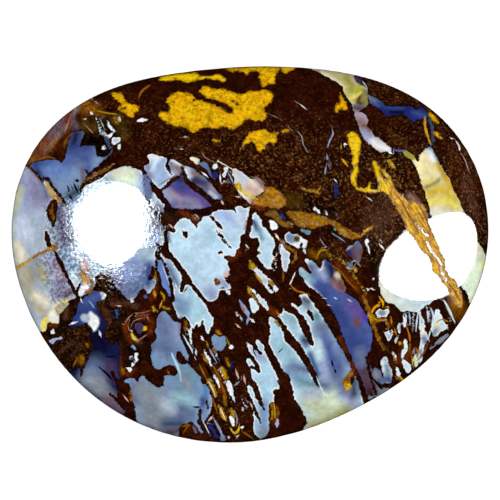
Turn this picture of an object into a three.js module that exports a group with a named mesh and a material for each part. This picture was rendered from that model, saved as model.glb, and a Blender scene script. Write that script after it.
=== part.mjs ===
// A polished freeform cabochon of boulder opal: one natural stone, cut to a low dome above a
// rounded girdle, with a flat ground back. Seen from above its outline is a lopsided egg, full at
// the left, wide at the right shoulder and cut away at the lower right.
// Units are millimetres. +X is the stone's length, +Y its width and +Z is up, out of the dome.
// The origin is on the flat back, under the middle of the outline.
import * as THREE from "three";

// Driving dimensions.
const STONE_LENGTH = 30.0;
const STONE_HEIGHT = 6.5;
const GIRDLE_HEIGHT = 1.3; // the widest line round the stone, above the back
const BACK_SHARE = 0.91; // how large the flat back is, beside the outline

// The dome's profile is a superellipse: higher powers make a flatter crown and a fuller shoulder.
const CROWN_POWER = 2.2;
const SHOULDER_POWER = 1.75;

// Radius of the outline from its middle, every 22.5 degrees counter-clockwise from +X.
const OUTLINE_RADII = [
  15.0, 15.34, 14.31, 12.65, 11.9, 12.4, 14.05, 15.2, 14.9, 14.0, 13.15, 12.37, 11.8, 11.6, 12.22, 13.66,
];

// How finely the surface is faceted.
const SEGMENTS = 84;
const DOME_RINGS = 20;
const EDGE_RINGS = 5;

// The outline's radius at any angle: the smoothest closed wave through the stated radii.
function outlineRadius(angle) {
  const count = OUTLINE_RADII.length;
  const step = (2 * Math.PI) / count;
  let radius = 0;
  for (let wave = 0; wave <= count / 2; wave++) {
    const share = wave === 0 || wave === count / 2 ? 1 / count : 2 / count;
    for (let i = 0; i < count; i++) {
      radius += share * OUTLINE_RADII[i] * Math.cos(wave * (angle - i * step));
    }
  }
  return radius;
}

// The outline as points, moved so that its box is centred and scaled to the stone's length.
function outlinePoints() {
  const points = [];
  for (let i = 0; i < SEGMENTS; i++) {
    const angle = (2 * Math.PI * i) / SEGMENTS;
    const radius = outlineRadius(angle);
    points.push(new THREE.Vector2(radius * Math.cos(angle), radius * Math.sin(angle)));
  }
  const box = new THREE.Box2().setFromPoints(points);
  const middle = box.getCenter(new THREE.Vector2());
  const scale = STONE_LENGTH / (box.max.x - box.min.x);
  return points.map((point) => point.sub(middle).multiplyScalar(scale));
}

// Rings from the back's rim, out round the lower edge, and up the dome to just below its crown.
// Each is the outline shrunk to a share of its size, at a height.
function profileRings() {
  const rings = [];
  for (let i = 0; i < EDGE_RINGS; i++) {
    const turn = (Math.PI / 2) * (i / EDGE_RINGS);
    const share = BACK_SHARE + (1 - BACK_SHARE) * Math.sin(turn);
    const height = GIRDLE_HEIGHT * (1 - Math.cos(turn));
    rings.push({ share, height });
  }
  const rise = STONE_HEIGHT - GIRDLE_HEIGHT;
  for (let i = 0; i < DOME_RINGS; i++) {
    const turn = (Math.PI / 2) * (i / DOME_RINGS);
    const share = Math.cos(turn) ** (2 / CROWN_POWER);
    const height = GIRDLE_HEIGHT + rise * Math.sin(turn) ** (2 / SHOULDER_POWER);
    rings.push({ share, height });
  }
  return rings;
}

// The closed surface: a flat fan for the back, bands between the rings, and a fan at the crown.
function stoneGeometry() {
  const outline = outlinePoints();
  const rings = profileRings();
  const positions = [];
  const triangles = [];
  for (const { share, height } of rings) {
    for (const point of outline) {
      positions.push(point.x * share, point.y * share, height);
    }
  }
  const backMiddle = rings.length * SEGMENTS;
  const crown = backMiddle + 1;
  positions.push(0, 0, 0);
  positions.push(0, 0, STONE_HEIGHT);
  for (let i = 0; i < SEGMENTS; i++) {
    const next = (i + 1) % SEGMENTS;
    triangles.push(backMiddle, next, i);
    for (let ring = 0; ring < rings.length - 1; ring++) {
      const low = ring * SEGMENTS;
      const high = low + SEGMENTS;
      triangles.push(low + i, low + next, high + next);
      triangles.push(low + i, high + next, high + i);
    }
    const top = (rings.length - 1) * SEGMENTS;
    triangles.push(top + i, top + next, crown);
  }
  const geometry = new THREE.BufferGeometry();
  geometry.setAttribute("position", new THREE.Float32BufferAttribute(positions, 3));
  geometry.setIndex(triangles);
  geometry.computeVertexNormals();
  return geometry;
}

// Dark brown ironstone with pale blue opal shows as a deep umber overall, under a glassy polish.
const polishedStone = new THREE.MeshStandardMaterial({
  color: 0x5a4634,
  roughness: 0.15,
  metalness: 0,
});

const stone = new THREE.Group();
const cabochon = new THREE.Mesh(stoneGeometry(), polishedStone);
cabochon.name = "boulder_opal_cabochon";
stone.add(cabochon);

export default stone;
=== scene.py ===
import math

import bpy
import numpy as np
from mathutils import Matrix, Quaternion, Vector


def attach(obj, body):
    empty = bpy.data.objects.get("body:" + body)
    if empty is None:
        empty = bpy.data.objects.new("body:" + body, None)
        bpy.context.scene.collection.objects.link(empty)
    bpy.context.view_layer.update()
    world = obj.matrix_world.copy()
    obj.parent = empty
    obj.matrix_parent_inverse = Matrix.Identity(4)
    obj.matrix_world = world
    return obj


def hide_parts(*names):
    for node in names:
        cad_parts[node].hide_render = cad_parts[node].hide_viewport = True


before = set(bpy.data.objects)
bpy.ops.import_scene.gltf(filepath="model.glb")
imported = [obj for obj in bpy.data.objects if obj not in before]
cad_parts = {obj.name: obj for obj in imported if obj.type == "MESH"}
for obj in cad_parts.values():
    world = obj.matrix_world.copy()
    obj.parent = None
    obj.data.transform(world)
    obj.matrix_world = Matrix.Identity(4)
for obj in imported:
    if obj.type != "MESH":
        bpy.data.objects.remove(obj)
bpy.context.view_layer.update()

# The view
# The camera looks straight down on the stone from a quarter of a metre, as the picture does.
# The stone fills nearly the whole width, a little below the middle of the picture.
MM = 0.001
picture_size = 500
stone_middle = (249.5, 254.0)
stone_length_px = 477.0
stone_length = 30.0 * MM
girdle_height = 1.3 * MM
camera_distance = 250.0 * MM
sensor_width = 36.0

metres_per_px = stone_length / stone_length_px
view_middle = ((picture_size - 1) / 2 - stone_middle[0], stone_middle[1] - (picture_size - 1) / 2)
camera_x = view_middle[0] * metres_per_px
camera_y = view_middle[1] * metres_per_px
camera_data = bpy.data.cameras.new("picture_camera")
camera_data.sensor_width = sensor_width
camera_data.lens = sensor_width * camera_distance / (picture_size * metres_per_px)
camera_data.clip_start = 0.01
camera_data.clip_end = 10.0
camera = bpy.data.objects.new("picture_camera", camera_data)
camera.location = (camera_x, camera_y, girdle_height + camera_distance)
bpy.context.scene.collection.objects.link(camera)
bpy.context.scene.camera = camera

# The stone's shape
# One polished cabochon cut from boulder opal: a low dome, a rounded lower edge and a flat ground
# back. A square grid is spread over the whole dome, shrunk to the freeform outline and lifted to
# the profile, and its open rim is closed by the flat back.
stone_height = 6.5 * MM
back_share = 0.91
crown_power = 2.2
shoulder_power = 1.75
outline_radii_mm = [
    15.0, 15.34, 14.31, 12.65, 11.9, 12.4, 14.05, 15.2,
    14.9, 14.0, 13.15, 12.37, 11.8, 11.6, 12.22, 13.66,
]
grid_count = 306
dome_reach = 0.96
rim_crowding = 0.2
angle_nudge = 0.00002


def feed(tree, socket, value):
    """Links a socket to another one's output, or sets its own value."""
    if isinstance(value, bpy.types.NodeSocket):
        tree.links.new(value, socket)
    else:
        socket.default_value = value


def add_node(tree, kind, inputs=(), **settings):
    """A node with its settings, and its inputs fed by name or by number."""
    made = tree.nodes.new(kind)
    for name, value in settings.items():
        setattr(made, name, value)
    for key, value in dict(inputs).items():
        feed(tree, made.inputs[key], value)
    return made


def calculate(tree, operation, *values, clamp=False):
    """The output of one Math node."""
    made = add_node(tree, "ShaderNodeMath", enumerate(values), operation=operation, use_clamp=clamp)
    return made.outputs[0]


def mixed(tree, factor, first, second):
    """A value between two others."""
    return add_node(tree, "ShaderNodeMix", {0: factor, 2: first, 3: second}).outputs[0]


def vector_of(tree, x, y, z):
    """Three values as one vector."""
    return add_node(tree, "ShaderNodeCombineXYZ", enumerate((x, y, z))).outputs[0]


shape = bpy.data.node_groups.new("cabochon_shape", "GeometryNodeTree")
shape.interface.new_socket("Geometry", in_out="OUTPUT", socket_type="NodeSocketGeometry")
shape_inputs = {
    "Length": stone_length,
    "Height": stone_height,
    "Girdle Height": girdle_height,
    "Back Share": back_share,
    "Crown Power": crown_power,
    "Shoulder Power": shoulder_power,
    "Dome Reach": dome_reach,
    "Rim Crowding": rim_crowding,
}
for index, radius in enumerate(outline_radii_mm):
    shape_inputs[f"Outline Radius {index}"] = radius * MM
socket_ids = {}
for name in shape_inputs:
    socket = shape.interface.new_socket(name, in_out="INPUT", socket_type="NodeSocketFloat")
    socket_ids[name] = socket.identifier
count_socket = shape.interface.new_socket("Grid Count", in_out="INPUT", socket_type="NodeSocketInt")
material_socket = shape.interface.new_socket(
    "Stone Material", in_out="INPUT", socket_type="NodeSocketMaterial"
)
given = shape.nodes.new("NodeGroupInput").outputs

flat_grid = add_node(
    shape,
    "GeometryNodeMeshGrid",
    {
        "Size X": 2.0,
        "Size Y": 2.0,
        "Vertices X": given["Grid Count"],
        "Vertices Y": given["Grid Count"],
    },
)
here = shape.nodes.new("GeometryNodeInputPosition").outputs[0]
square = add_node(shape, "ShaderNodeSeparateXYZ", {0: here})


def squeezed(along, across):
    """One coordinate of a square squeezed into a disc."""
    halved = calculate(shape, "MULTIPLY", calculate(shape, "MULTIPLY", across, across), 0.5)
    squeeze = calculate(shape, "SQRT", calculate(shape, "SUBTRACT", 1.0, halved))
    return calculate(shape, "MULTIPLY", along, squeeze)


disc_x = squeezed(square.outputs[0], square.outputs[1])
disc_y = squeezed(square.outputs[1], square.outputs[0])
reach_squared = calculate(
    shape, "MULTIPLY_ADD", disc_x, disc_x, calculate(shape, "MULTIPLY", disc_y, disc_y)
)
reach = calculate(shape, "SQRT", reach_squared)
angle = calculate(shape, "ARCTAN2", disc_y, disc_x)

# The dome part of the grid: the share of the outline, and the height that the profile has there.
dome_part = calculate(shape, "DIVIDE", reach, given["Dome Reach"], clamp=True)
crowded = calculate(shape, "SINE", calculate(shape, "MULTIPLY", dome_part, math.pi / 2))
dome_share = mixed(shape, given["Rim Crowding"], dome_part, crowded)
outward = calculate(shape, "POWER", dome_share, given["Crown Power"])
inward = calculate(shape, "SUBTRACT", 1.0, outward, clamp=True)
lift = calculate(shape, "POWER", inward, calculate(shape, "DIVIDE", 1.0, given["Shoulder Power"]))
rise = calculate(shape, "SUBTRACT", given["Height"], given["Girdle Height"])

# The lower edge: a quarter turn from the girdle down to the back's rim.
past_dome = calculate(shape, "SUBTRACT", reach, given["Dome Reach"])
edge_length = calculate(shape, "SUBTRACT", 1.0, given["Dome Reach"])
edge_part = calculate(shape, "DIVIDE", past_dome, edge_length, clamp=True)
edge_turn = calculate(shape, "MULTIPLY", edge_part, math.pi / 2)
overhang = calculate(shape, "SUBTRACT", 1.0, given["Back Share"])
edge_share = calculate(
    shape, "MULTIPLY_ADD", overhang, calculate(shape, "COSINE", edge_turn), given["Back Share"]
)
edge_drop = calculate(shape, "MULTIPLY", given["Girdle Height"], calculate(shape, "SINE", edge_turn))
dome_height = calculate(shape, "MULTIPLY_ADD", rise, lift, given["Girdle Height"])
height = calculate(shape, "SUBTRACT", dome_height, edge_drop)

# The outline's radius: the smoothest closed wave through the given radii, which is each radius
# times a ripple that is one at its own angle and nothing at the others. The nudge keeps the
# ripple's tangent off nought, where the grid has points.
outline_count = len(outline_radii_mm)
outline_radius = 0.0
for index in range(outline_count):
    own_angle = 2 * math.pi * index / outline_count + angle_nudge
    turned = calculate(shape, "SUBTRACT", angle, own_angle)
    wave = calculate(shape, "SINE", calculate(shape, "MULTIPLY", turned, outline_count / 2))
    slope = calculate(shape, "TANGENT", calculate(shape, "MULTIPLY", turned, 0.5))
    fading = calculate(shape, "MULTIPLY", slope, float(outline_count))
    ripple = calculate(shape, "DIVIDE", wave, fading)
    own_radius = given[f"Outline Radius {index}"]
    outline_radius = calculate(shape, "MULTIPLY_ADD", own_radius, ripple, outline_radius)

share = calculate(shape, "MULTIPLY", dome_share, edge_share)
plan_radius = calculate(shape, "MULTIPLY", outline_radius, share)
plan_x = calculate(shape, "MULTIPLY", plan_radius, calculate(shape, "COSINE", angle))
plan_y = calculate(shape, "MULTIPLY", plan_radius, calculate(shape, "SINE", angle))
lifted = add_node(
    shape,
    "GeometryNodeSetPosition",
    {"Geometry": flat_grid.outputs["Mesh"], "Position": vector_of(shape, plan_x, plan_y, height)},
)

# The outline's box is centred, and scaled in plan to the stone's length.
plan_box = add_node(shape, "GeometryNodeBoundBox", {"Geometry": lifted.outputs["Geometry"]})
low = add_node(shape, "ShaderNodeSeparateXYZ", {0: plan_box.outputs["Min"]})
high = add_node(shape, "ShaderNodeSeparateXYZ", {0: plan_box.outputs["Max"]})
plan_length = calculate(shape, "SUBTRACT", high.outputs[0], low.outputs[0])
plan_scale = calculate(shape, "DIVIDE", given["Length"], plan_length)
standing = add_node(shape, "ShaderNodeSeparateXYZ", {0: here})
centred = []
for axis in (0, 1):
    ends = calculate(shape, "ADD", low.outputs[axis], high.outputs[axis])
    middle = calculate(shape, "MULTIPLY", ends, 0.5)
    from_middle = calculate(shape, "SUBTRACT", standing.outputs[axis], middle)
    centred.append(calculate(shape, "MULTIPLY", from_middle, plan_scale))
placed = add_node(
    shape,
    "GeometryNodeSetPosition",
    {
        "Geometry": lifted.outputs["Geometry"],
        "Position": vector_of(shape, *centred, standing.outputs[2]),
    },
)

# The flat back fills the open rim, facing down.
open_edges = add_node(
    shape,
    "FunctionNodeCompare",
    {2: shape.nodes.new("GeometryNodeInputMeshEdgeNeighbors").outputs[0], 3: 1},
    data_type="INT",
    operation="EQUAL",
)
rim_curve = add_node(
    shape, "GeometryNodeMeshToCurve", {"Mesh": placed.outputs[0], "Selection": open_edges.outputs[0]}
)
back_fill = add_node(shape, "GeometryNodeFillCurve", {0: rim_curve.outputs[0]})
back_down = add_node(shape, "GeometryNodeFlipFaces", {"Mesh": back_fill.outputs[0]})
joined = shape.nodes.new("GeometryNodeJoinGeometry")
shape.links.new(placed.outputs[0], joined.inputs[0])
shape.links.new(back_down.outputs[0], joined.inputs[0])
merge_distance = 0.001 * MM
merged = add_node(
    shape, "GeometryNodeMergeByDistance", {"Geometry": joined.outputs[0], "Distance": merge_distance}
)
smooth = add_node(shape, "GeometryNodeSetShadeSmooth", {"Geometry": merged.outputs[0]})
realized = add_node(shape, "GeometryNodeRealizeInstances", {"Geometry": smooth.outputs[0]})
finished = add_node(
    shape,
    "GeometryNodeSetMaterial",
    {"Geometry": realized.outputs[0], "Material": given["Stone Material"]},
)
shape_output = shape.nodes.new("NodeGroupOutput")
shape.links.new(finished.outputs[0], shape_output.inputs[0])

polished_stone = bpy.data.materials.new("polished_boulder_opal")
polished_stone.use_nodes = True
seed_object = bpy.data.objects.new("cabochon_seed", bpy.data.meshes.new("cabochon_seed"))
bpy.context.scene.collection.objects.link(seed_object)
shaping = seed_object.modifiers.new("cabochon_shape", "NODES")
shaping.node_group = shape
for name, value in shape_inputs.items():
    shaping[socket_ids[name]] = value
shaping[count_socket.identifier] = grid_count
shaping[material_socket.identifier] = polished_stone
bpy.context.view_layer.update()
evaluated = seed_object.evaluated_get(bpy.context.evaluated_depsgraph_get())
stone_mesh = bpy.data.meshes.new_from_object(evaluated)
stone_mesh.name = "boulder_opal"
bpy.data.objects.remove(seed_object)
stone = bpy.data.objects.new("boulder_opal", stone_mesh)
bpy.context.scene.collection.objects.link(stone)

# The markings: where each kind of stone shows
# Ironstone runs through the whole pebble, with opal in its cracks and ochre where the iron has
# weathered. Each marking is drawn as an outline or a tapering line, in the picture's
# pixels, x to the right and y down. Tones are the colours that each kind of stone takes.
tones = {
    # blues, greys and violets
    "white": "#f7f9fb", "ice": "#d3ecf5", "milk": "#c4e4f8", "frost": "#c8d4ea", "pale": "#b4daee",
    "glass": "#a8bce6", "mist": "#aebccc", "sea": "#94bcca", "lilac": "#9ca8d0", "peri": "#8c9ecc",
    "haze": "#a494a4", "dove": "#8c98a8", "steel": "#7c98bc", "slub": "#8c86a8", "stone": "#848c96",
    "teal": "#6c94a4", "sky": "#6a86c4", "green": "#3c9c70", "azure": "#4c80b4", "slate": "#66749a",
    "heather": "#625e7c", "blue": "#4c5e9e", "violet": "#625094", "royal": "#384a88", "dusk": "#3c4660",
    "denim": "#2c4484", "plum": "#44345a", "neon": "#4a1cc0", "indigo": "#22286a", "navy": "#151b48",
    "ink": "#0c0a28",
    # greens, yellows, pinks and browns
    "mint": "#e6f8d8", "butter": "#fcecac", "cream": "#f2ead0", "lemon": "#efe070", "sage": "#c4caa6",
    "yellow": "#f6c60c", "pink": "#dcb4ac", "honey": "#d8bc38", "pear": "#c4bc74", "lime": "#c0bc3c",
    "gold": "#d4b020", "sand": "#b4aa8c", "buff": "#c4a468", "ochre": "#e2a006", "straw": "#d0a02c",
    "saffron": "#dc9a0a", "moss": "#a09c3c", "khaki": "#988c40", "mustard": "#a8800c",
    "rose": "#9c7464", "orange": "#c0700e", "fawn": "#8a7064", "amber": "#a86410", "mauve": "#705c6c",
    "bronze": "#8a5204", "brick": "#80482c", "tan": "#6a4412", "smoke": "#564250", "olive": "#4e380a",
    "rust": "#6c2804", "umbra": "#4a3408", "cocoa": "#4c2c22", "bark": "#401804", "umber": "#2c0a02",
    "soot": "#180802", "black": "#0a0200",
}

# Windows of opal in the ironstone: tone, outline.
opal_windows = {
    "left field": ("mist", "4,170 27,167 36,174 46,180 62,197 78,195 84,187 92,183 100,179 108,173 "
        "116,169 125,166.5 131,167 137,169 141,171 143,176 144,184 145,192 146,200 150,208 155,213 "
        "159,220 163,227 164,236 164,244 160,248 157,254 156,262 155,268 155,276 156,284 151,291 "
        "148,294 145,290 143,288 139,293 135,298 131,300 127,299 121,292 116,287 112,279 107,274 "
        "100,273 95,277 95,285 91,290 84,295 77,298 70,300 66,305 57,311 58,320 54,324 48,322 46,331 "
        "40,331 30,330 4,300"),
    "blue window": ("slate", "30,165 38,162 48,160 57,160 62,163 65,158 67,150 68,143 71,137 72,132 "
        "79,131 84,132 83,137 80,142 81,147 90,145 95,148 96,154 99,157 104,157 109,154 111,150 "
        "108,144 104,139 101,134 103,134 107,140 111,146 112,151 108,157 103,161 97,166 91,171 85,178 "
        "81,187 78,197 70,204 62,198 55,190 50,183 46,177 42,179 35,172"),
    "pane by the tooth": ("glass", "149,154 160,156 169,158.5 176,161 183,165 184,168 180,174 172,178 "
        "166,184 161,189 155,184 150,178 146,172 144,166 148,164 150,162 148,158"),
    "violet pane": ("violet", "162,192 168,187 176,181 182,175 184,180 187,185 193,190 200,195 207,201 "
        "211,205 208,207 200,209 185,209 173,208 168,204 165,199"),
    "slanting pane": ("slate", "184,166 190,167 195,170 200,174 206,178 211,184 216,189 221,196 "
        "222,198 216,200 210,196 203,190 196,184 190,181 187,175 184,169"),
    "pane beside the spur": ("frost", "146,200 150,194 154,193 158,198 162,203 166,205 163,208 164,213 "
        "158,212 152,211 148,207"),
    "main window": ("milk", "176,224 181,219 188,219 191,222 196,224 201,221 203,217 209,216 211,218 "
        "218,228 226,240 226,250 223,256 224,258 227,262 229,268 229,273 230,275 227,277 223,276 "
        "226,280 229,284 231,288 227,289 229,291 231,294 229,295 226,292 224,290 220,290 218,294 "
        "218,297 215,300 211,302 206,300 202,297 199,291 193,283 187,273 180,263 172,254 169,249 "
        "168,241 167,234 169,231 173,233 177,230 174,228"),
    "upper window": ("milk", "212,214 214,211 220,210 227,210 232,210 235,213 237,212 235,207 240,206 "
        "246,208 250,206 252,208 249,213 248,218 247,224 247,229 244,234 241,236 240,240 240,246 "
        "238,249 235,250 236,254 233,257 229,255 222,256 214,250 214,230 212,224 210,218"),
    "right branch": ("milk", "253,207 256,212 259,217 262,221 261,224 265,228 268,232 271,235 274,240 "
        "275,246 272,252 274,256 275,260 272,261 271,266 274,269 275,271 271,269 268,270 265,267 "
        "260,261 257,257 258,255 261,254 260,252 258,251 259,246 259,241 257,237 253,238 250,236 "
        "250,231 252,227 253,222 253,216 252,211"),
    "cream lens": ("cream", "233,168 240,171 248,177 252,179 256,178 261,180 264,185 266,189 262,193 "
        "257,196 255,200 250,203 244,198 239,193 236,188 234,180 232,172"),
    "blade under the crab": ("frost", "281,244 284,247 288,251 290,254 289,258 290,261 288,265 287,270 "
        "286,273 284,271 282,265 281,258 280,250"),
    "mauve pocket": ("smoke", "346,250 350,246 354,245 357,240 360,243 362.5,248 363,253 361,257 "
        "360,262 359,265 355,262 352,258 349,255"),
    "big blue window": ("blue", "299.5,273 300,268 302,267 305,270 308,273 311,274 310,270 308,266 "
        "305,262 304,259 307,258 310,260 313,262 316,264 319,268 321,269 322,264 323,260 326,259.5 "
        "328,262 331,263 334,267 336,272 335,275 332,278 331,281 334,286 338,290 343,292 351,297 "
        "356,300 359,303 361,308 364,312 367,316 368,322 371,328 372,335 372,342 370,350 367,357 "
        "371,366 373,374 373,384 377,392 374,397 368,399 363,391 360,381 356,371 352,363 348,353 "
        "345,343 342,335 340,329 336,322 332,313 327,307 322,301 316,295 312,290 308,286 304,280"),
    "long pane": ("pale", "300,295 306,294 309,297 313,303 318,310 323,318 329,328 334,337 338,343 "
        "344,352 349,361 351,370 350,378 352,386 355,376 358,381 361,392 364,402 362,412 340,430 "
        "318,435 300,440 304,428 307,424 306,419 303,412 298,404 294,397 293,390 291,384 290,378 "
        "287,374 283,371 279,364 275,357 271,349 268.5,342 270,334 270,326 268,319 271,317 274,319 "
        "278,323 281,329 284,334 284,338 288,343 295,350 302,358 309,368 313,377 319,387 318,378 "
        "314,369 309,359 303,348 298,342 293,336 288,329 282,321 278,315 282,314 283,310 288,312 "
        "294,315 298,320 300,327 304,335 310,345 312,345 309,338 306,327 301,318 295,311 291,304 "
        "295,304 298,307 302,304 301,299"),
    "middle window": ("pale", "247,342 251,346 256,351 256,344 257,340 262,343 265,349 270,359 275,369 "
        "280,380 278,383 280,389 275,389 273,393 276,403 270,402 269,412 269,425 268,433 261,439 "
        "257,436 253,430 254,422 253,415 254,408 250,396 247,387 249,385 254,388 258,386 253,380 "
        "251,374 251,369 247,364 247,359 250,359 254,364 258,364 254,357 249,351"),
    "left slope window": ("pale", "160,253 165,254 170,259 174,265 178,270 181,275 182,281 181,287 "
        "180,292 183,292 184,288 187,284 189,284 192,288 196,293 200,297 204,302 207,308 210,314 "
        "213,319 213,324 211,328 209,332 208,334 206,331 205,326 203,321 201,322 200,326 198,327 "
        "196,330 193,328 190,324 188,320 186,317 183,317 181,319 178,317 176,313 174,308 173,300 "
        "172,292 171,284 169,276 166,268 163,261"),
    "hanging window": ("steel", "160,312 165,311 168,313 170,317 174,321 180,323 181,328 180,336 "
        "183,342 186,350 189,355 188,360 187,363 193,369 200,376 202,383 205,384 208,388 210,394 "
        "212,400 212,406 210,412 208,417 205,421 203,423 200,420 197,421 200,427 203,432 201,433 "
        "198,429 194,424 191,421 188,423 184,423 181,425 179,429 176,440 150,440 138,424 136,415 "
        "135,408 133,400 131,395 130,390 129,384 124,381 130,378 135,379 138,382 140,377 143,376 "
        "148,381 153,384 157,388 163,387 166,388 164,384 164,377 168,375 175,376 177,371 174,366 "
        "166,366 160,369 156,369 152,365 151,357 152,350 150,346 153,343 157,338 155,332 156,326 "
        "157,320 158,315"),
    "deep blue window": ("navy", "79,303 83,299 88,295 92,291 97,292 102,292 105,297 104,300 99,301 "
        "96,303 97,308 100,314 104,320 107,322 106,328 104,336 108,341 113,345 116,341 118,345 119,350 "
        "119,358 118,366 118,372 120,379 117,379 114,374 112,372 113,378 117,385 121,392 125,399 "
        "128,404 122,415 100,406 80,390 68,376 75,370 80,368 80,375 82,376 84,368 88,360 91,352 93,345 "
        "91,338 90,330 84,325 76,327 70,328 71,322 74,317 77,311"),
    "cream body": ("cream", "430,146 433,150 437,158 441,166 446,174 451,182 454,191 458,198 461,205 "
        "465,214 469,223 473,232 478,242 483,250 487,257 496,262 490,290 474,300 470,303 467,297 "
        "464,290 458,283 452,278 446,281 447,289 441,294 436,298 430,303 425,306 421,310 418,312 "
        "410,311 401,311 394,304 388,303 384,299 381,292 379,283 380,275 382,268 383,258 386,250 "
        "390,245 398,238 404,231 410,225 424,218 429,214 430,208 427,200 424,190 421,183 420,178 "
        "418,172 414,165 412,160 416,158 420,160 419,156 424,150"),
    "green wedge": ("sage", "311,69 330,70 345,73 353,75 356,79 361,84 366,88 368,93 368,105 363,108 "
        "358,113 353,110 352,104 348,99 344,93 343,88 339,84 333,80 327,77 320,73"),
    "blue band": ("indigo", "368,92 371,96 378,99 384,104 390,107 400,106 410,106 414,109 416,111 "
        "419,109 420,106 424,109 427,113 428,118 421,119 416,120 415,122 411,121 407,117 400,114 "
        "390,116 385,115 381,111 376,107 370,104"),
    "comb ribbon": ("frost", "419,309 421,312 423,318 425,324 425,330 428,336 427,342 424,346 423,352 "
        "422,360 420,364 418.5,360 418.5,352 420,345 420.5,336 419.5,328 419,318 418,312"),
    "comb pane": ("ice", "434,316 435,311 437,309 439,310 441,314 443,320 446,324 447,328 443,331 "
        "439,333 437,337 434,337 431,332 431,325 432,320"),
    "rim pane": ("stone", "449,333 447,338 442,342 437,345 434.5,344 438,340 443,336"),
    "ring pane": ("ice", "388,329 389.5,333 390,329 392,330 393,334 391,338 388,341 386,338 384,333 "
        "384,331 386,332"),
    "hook pane": ("ice", "405,338 407,341 408,346 407,350 404,355 404,359 407,362 410,364 411,369 "
        "409,373 406,372 404,367 402,362 401,356 402,351 404.5,347 404,342"),
    "rim window": ("mist", "384,357 387,358 388,363 390,367 392,372 392.5,378 391,382 387,384 "
        "384.5,381 383,374 381.5,367 380.5,361"),
    "grey foot": ("stone", "371,380 375,384 379,388 384,388 390,388 390,396 378,400 376,391 373,386"),
    "mottled foot": ("slate", "375,368 379,370 382,376 385,381 383,384 379,382 375,379 372,375"),
    "white wedge": ("stone", "372,380 376,382 380,386 381,389 378,391 376,394 374,388"),
    "link pane": ("haze", "354,114 360,112 366,115 368,120 367,125 371,131 375,136 381,140 387,145 "
        "391,148 391,152 386,151 380,152 372,146 366,141 361,134 359,128 357,122 355,118"),
    "rose triangle": ("rose", "335,272 338,271 341,276 344,282 346,290 343,292 337,289 333,284 331,280 "
        "333,275"),
}

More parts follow.
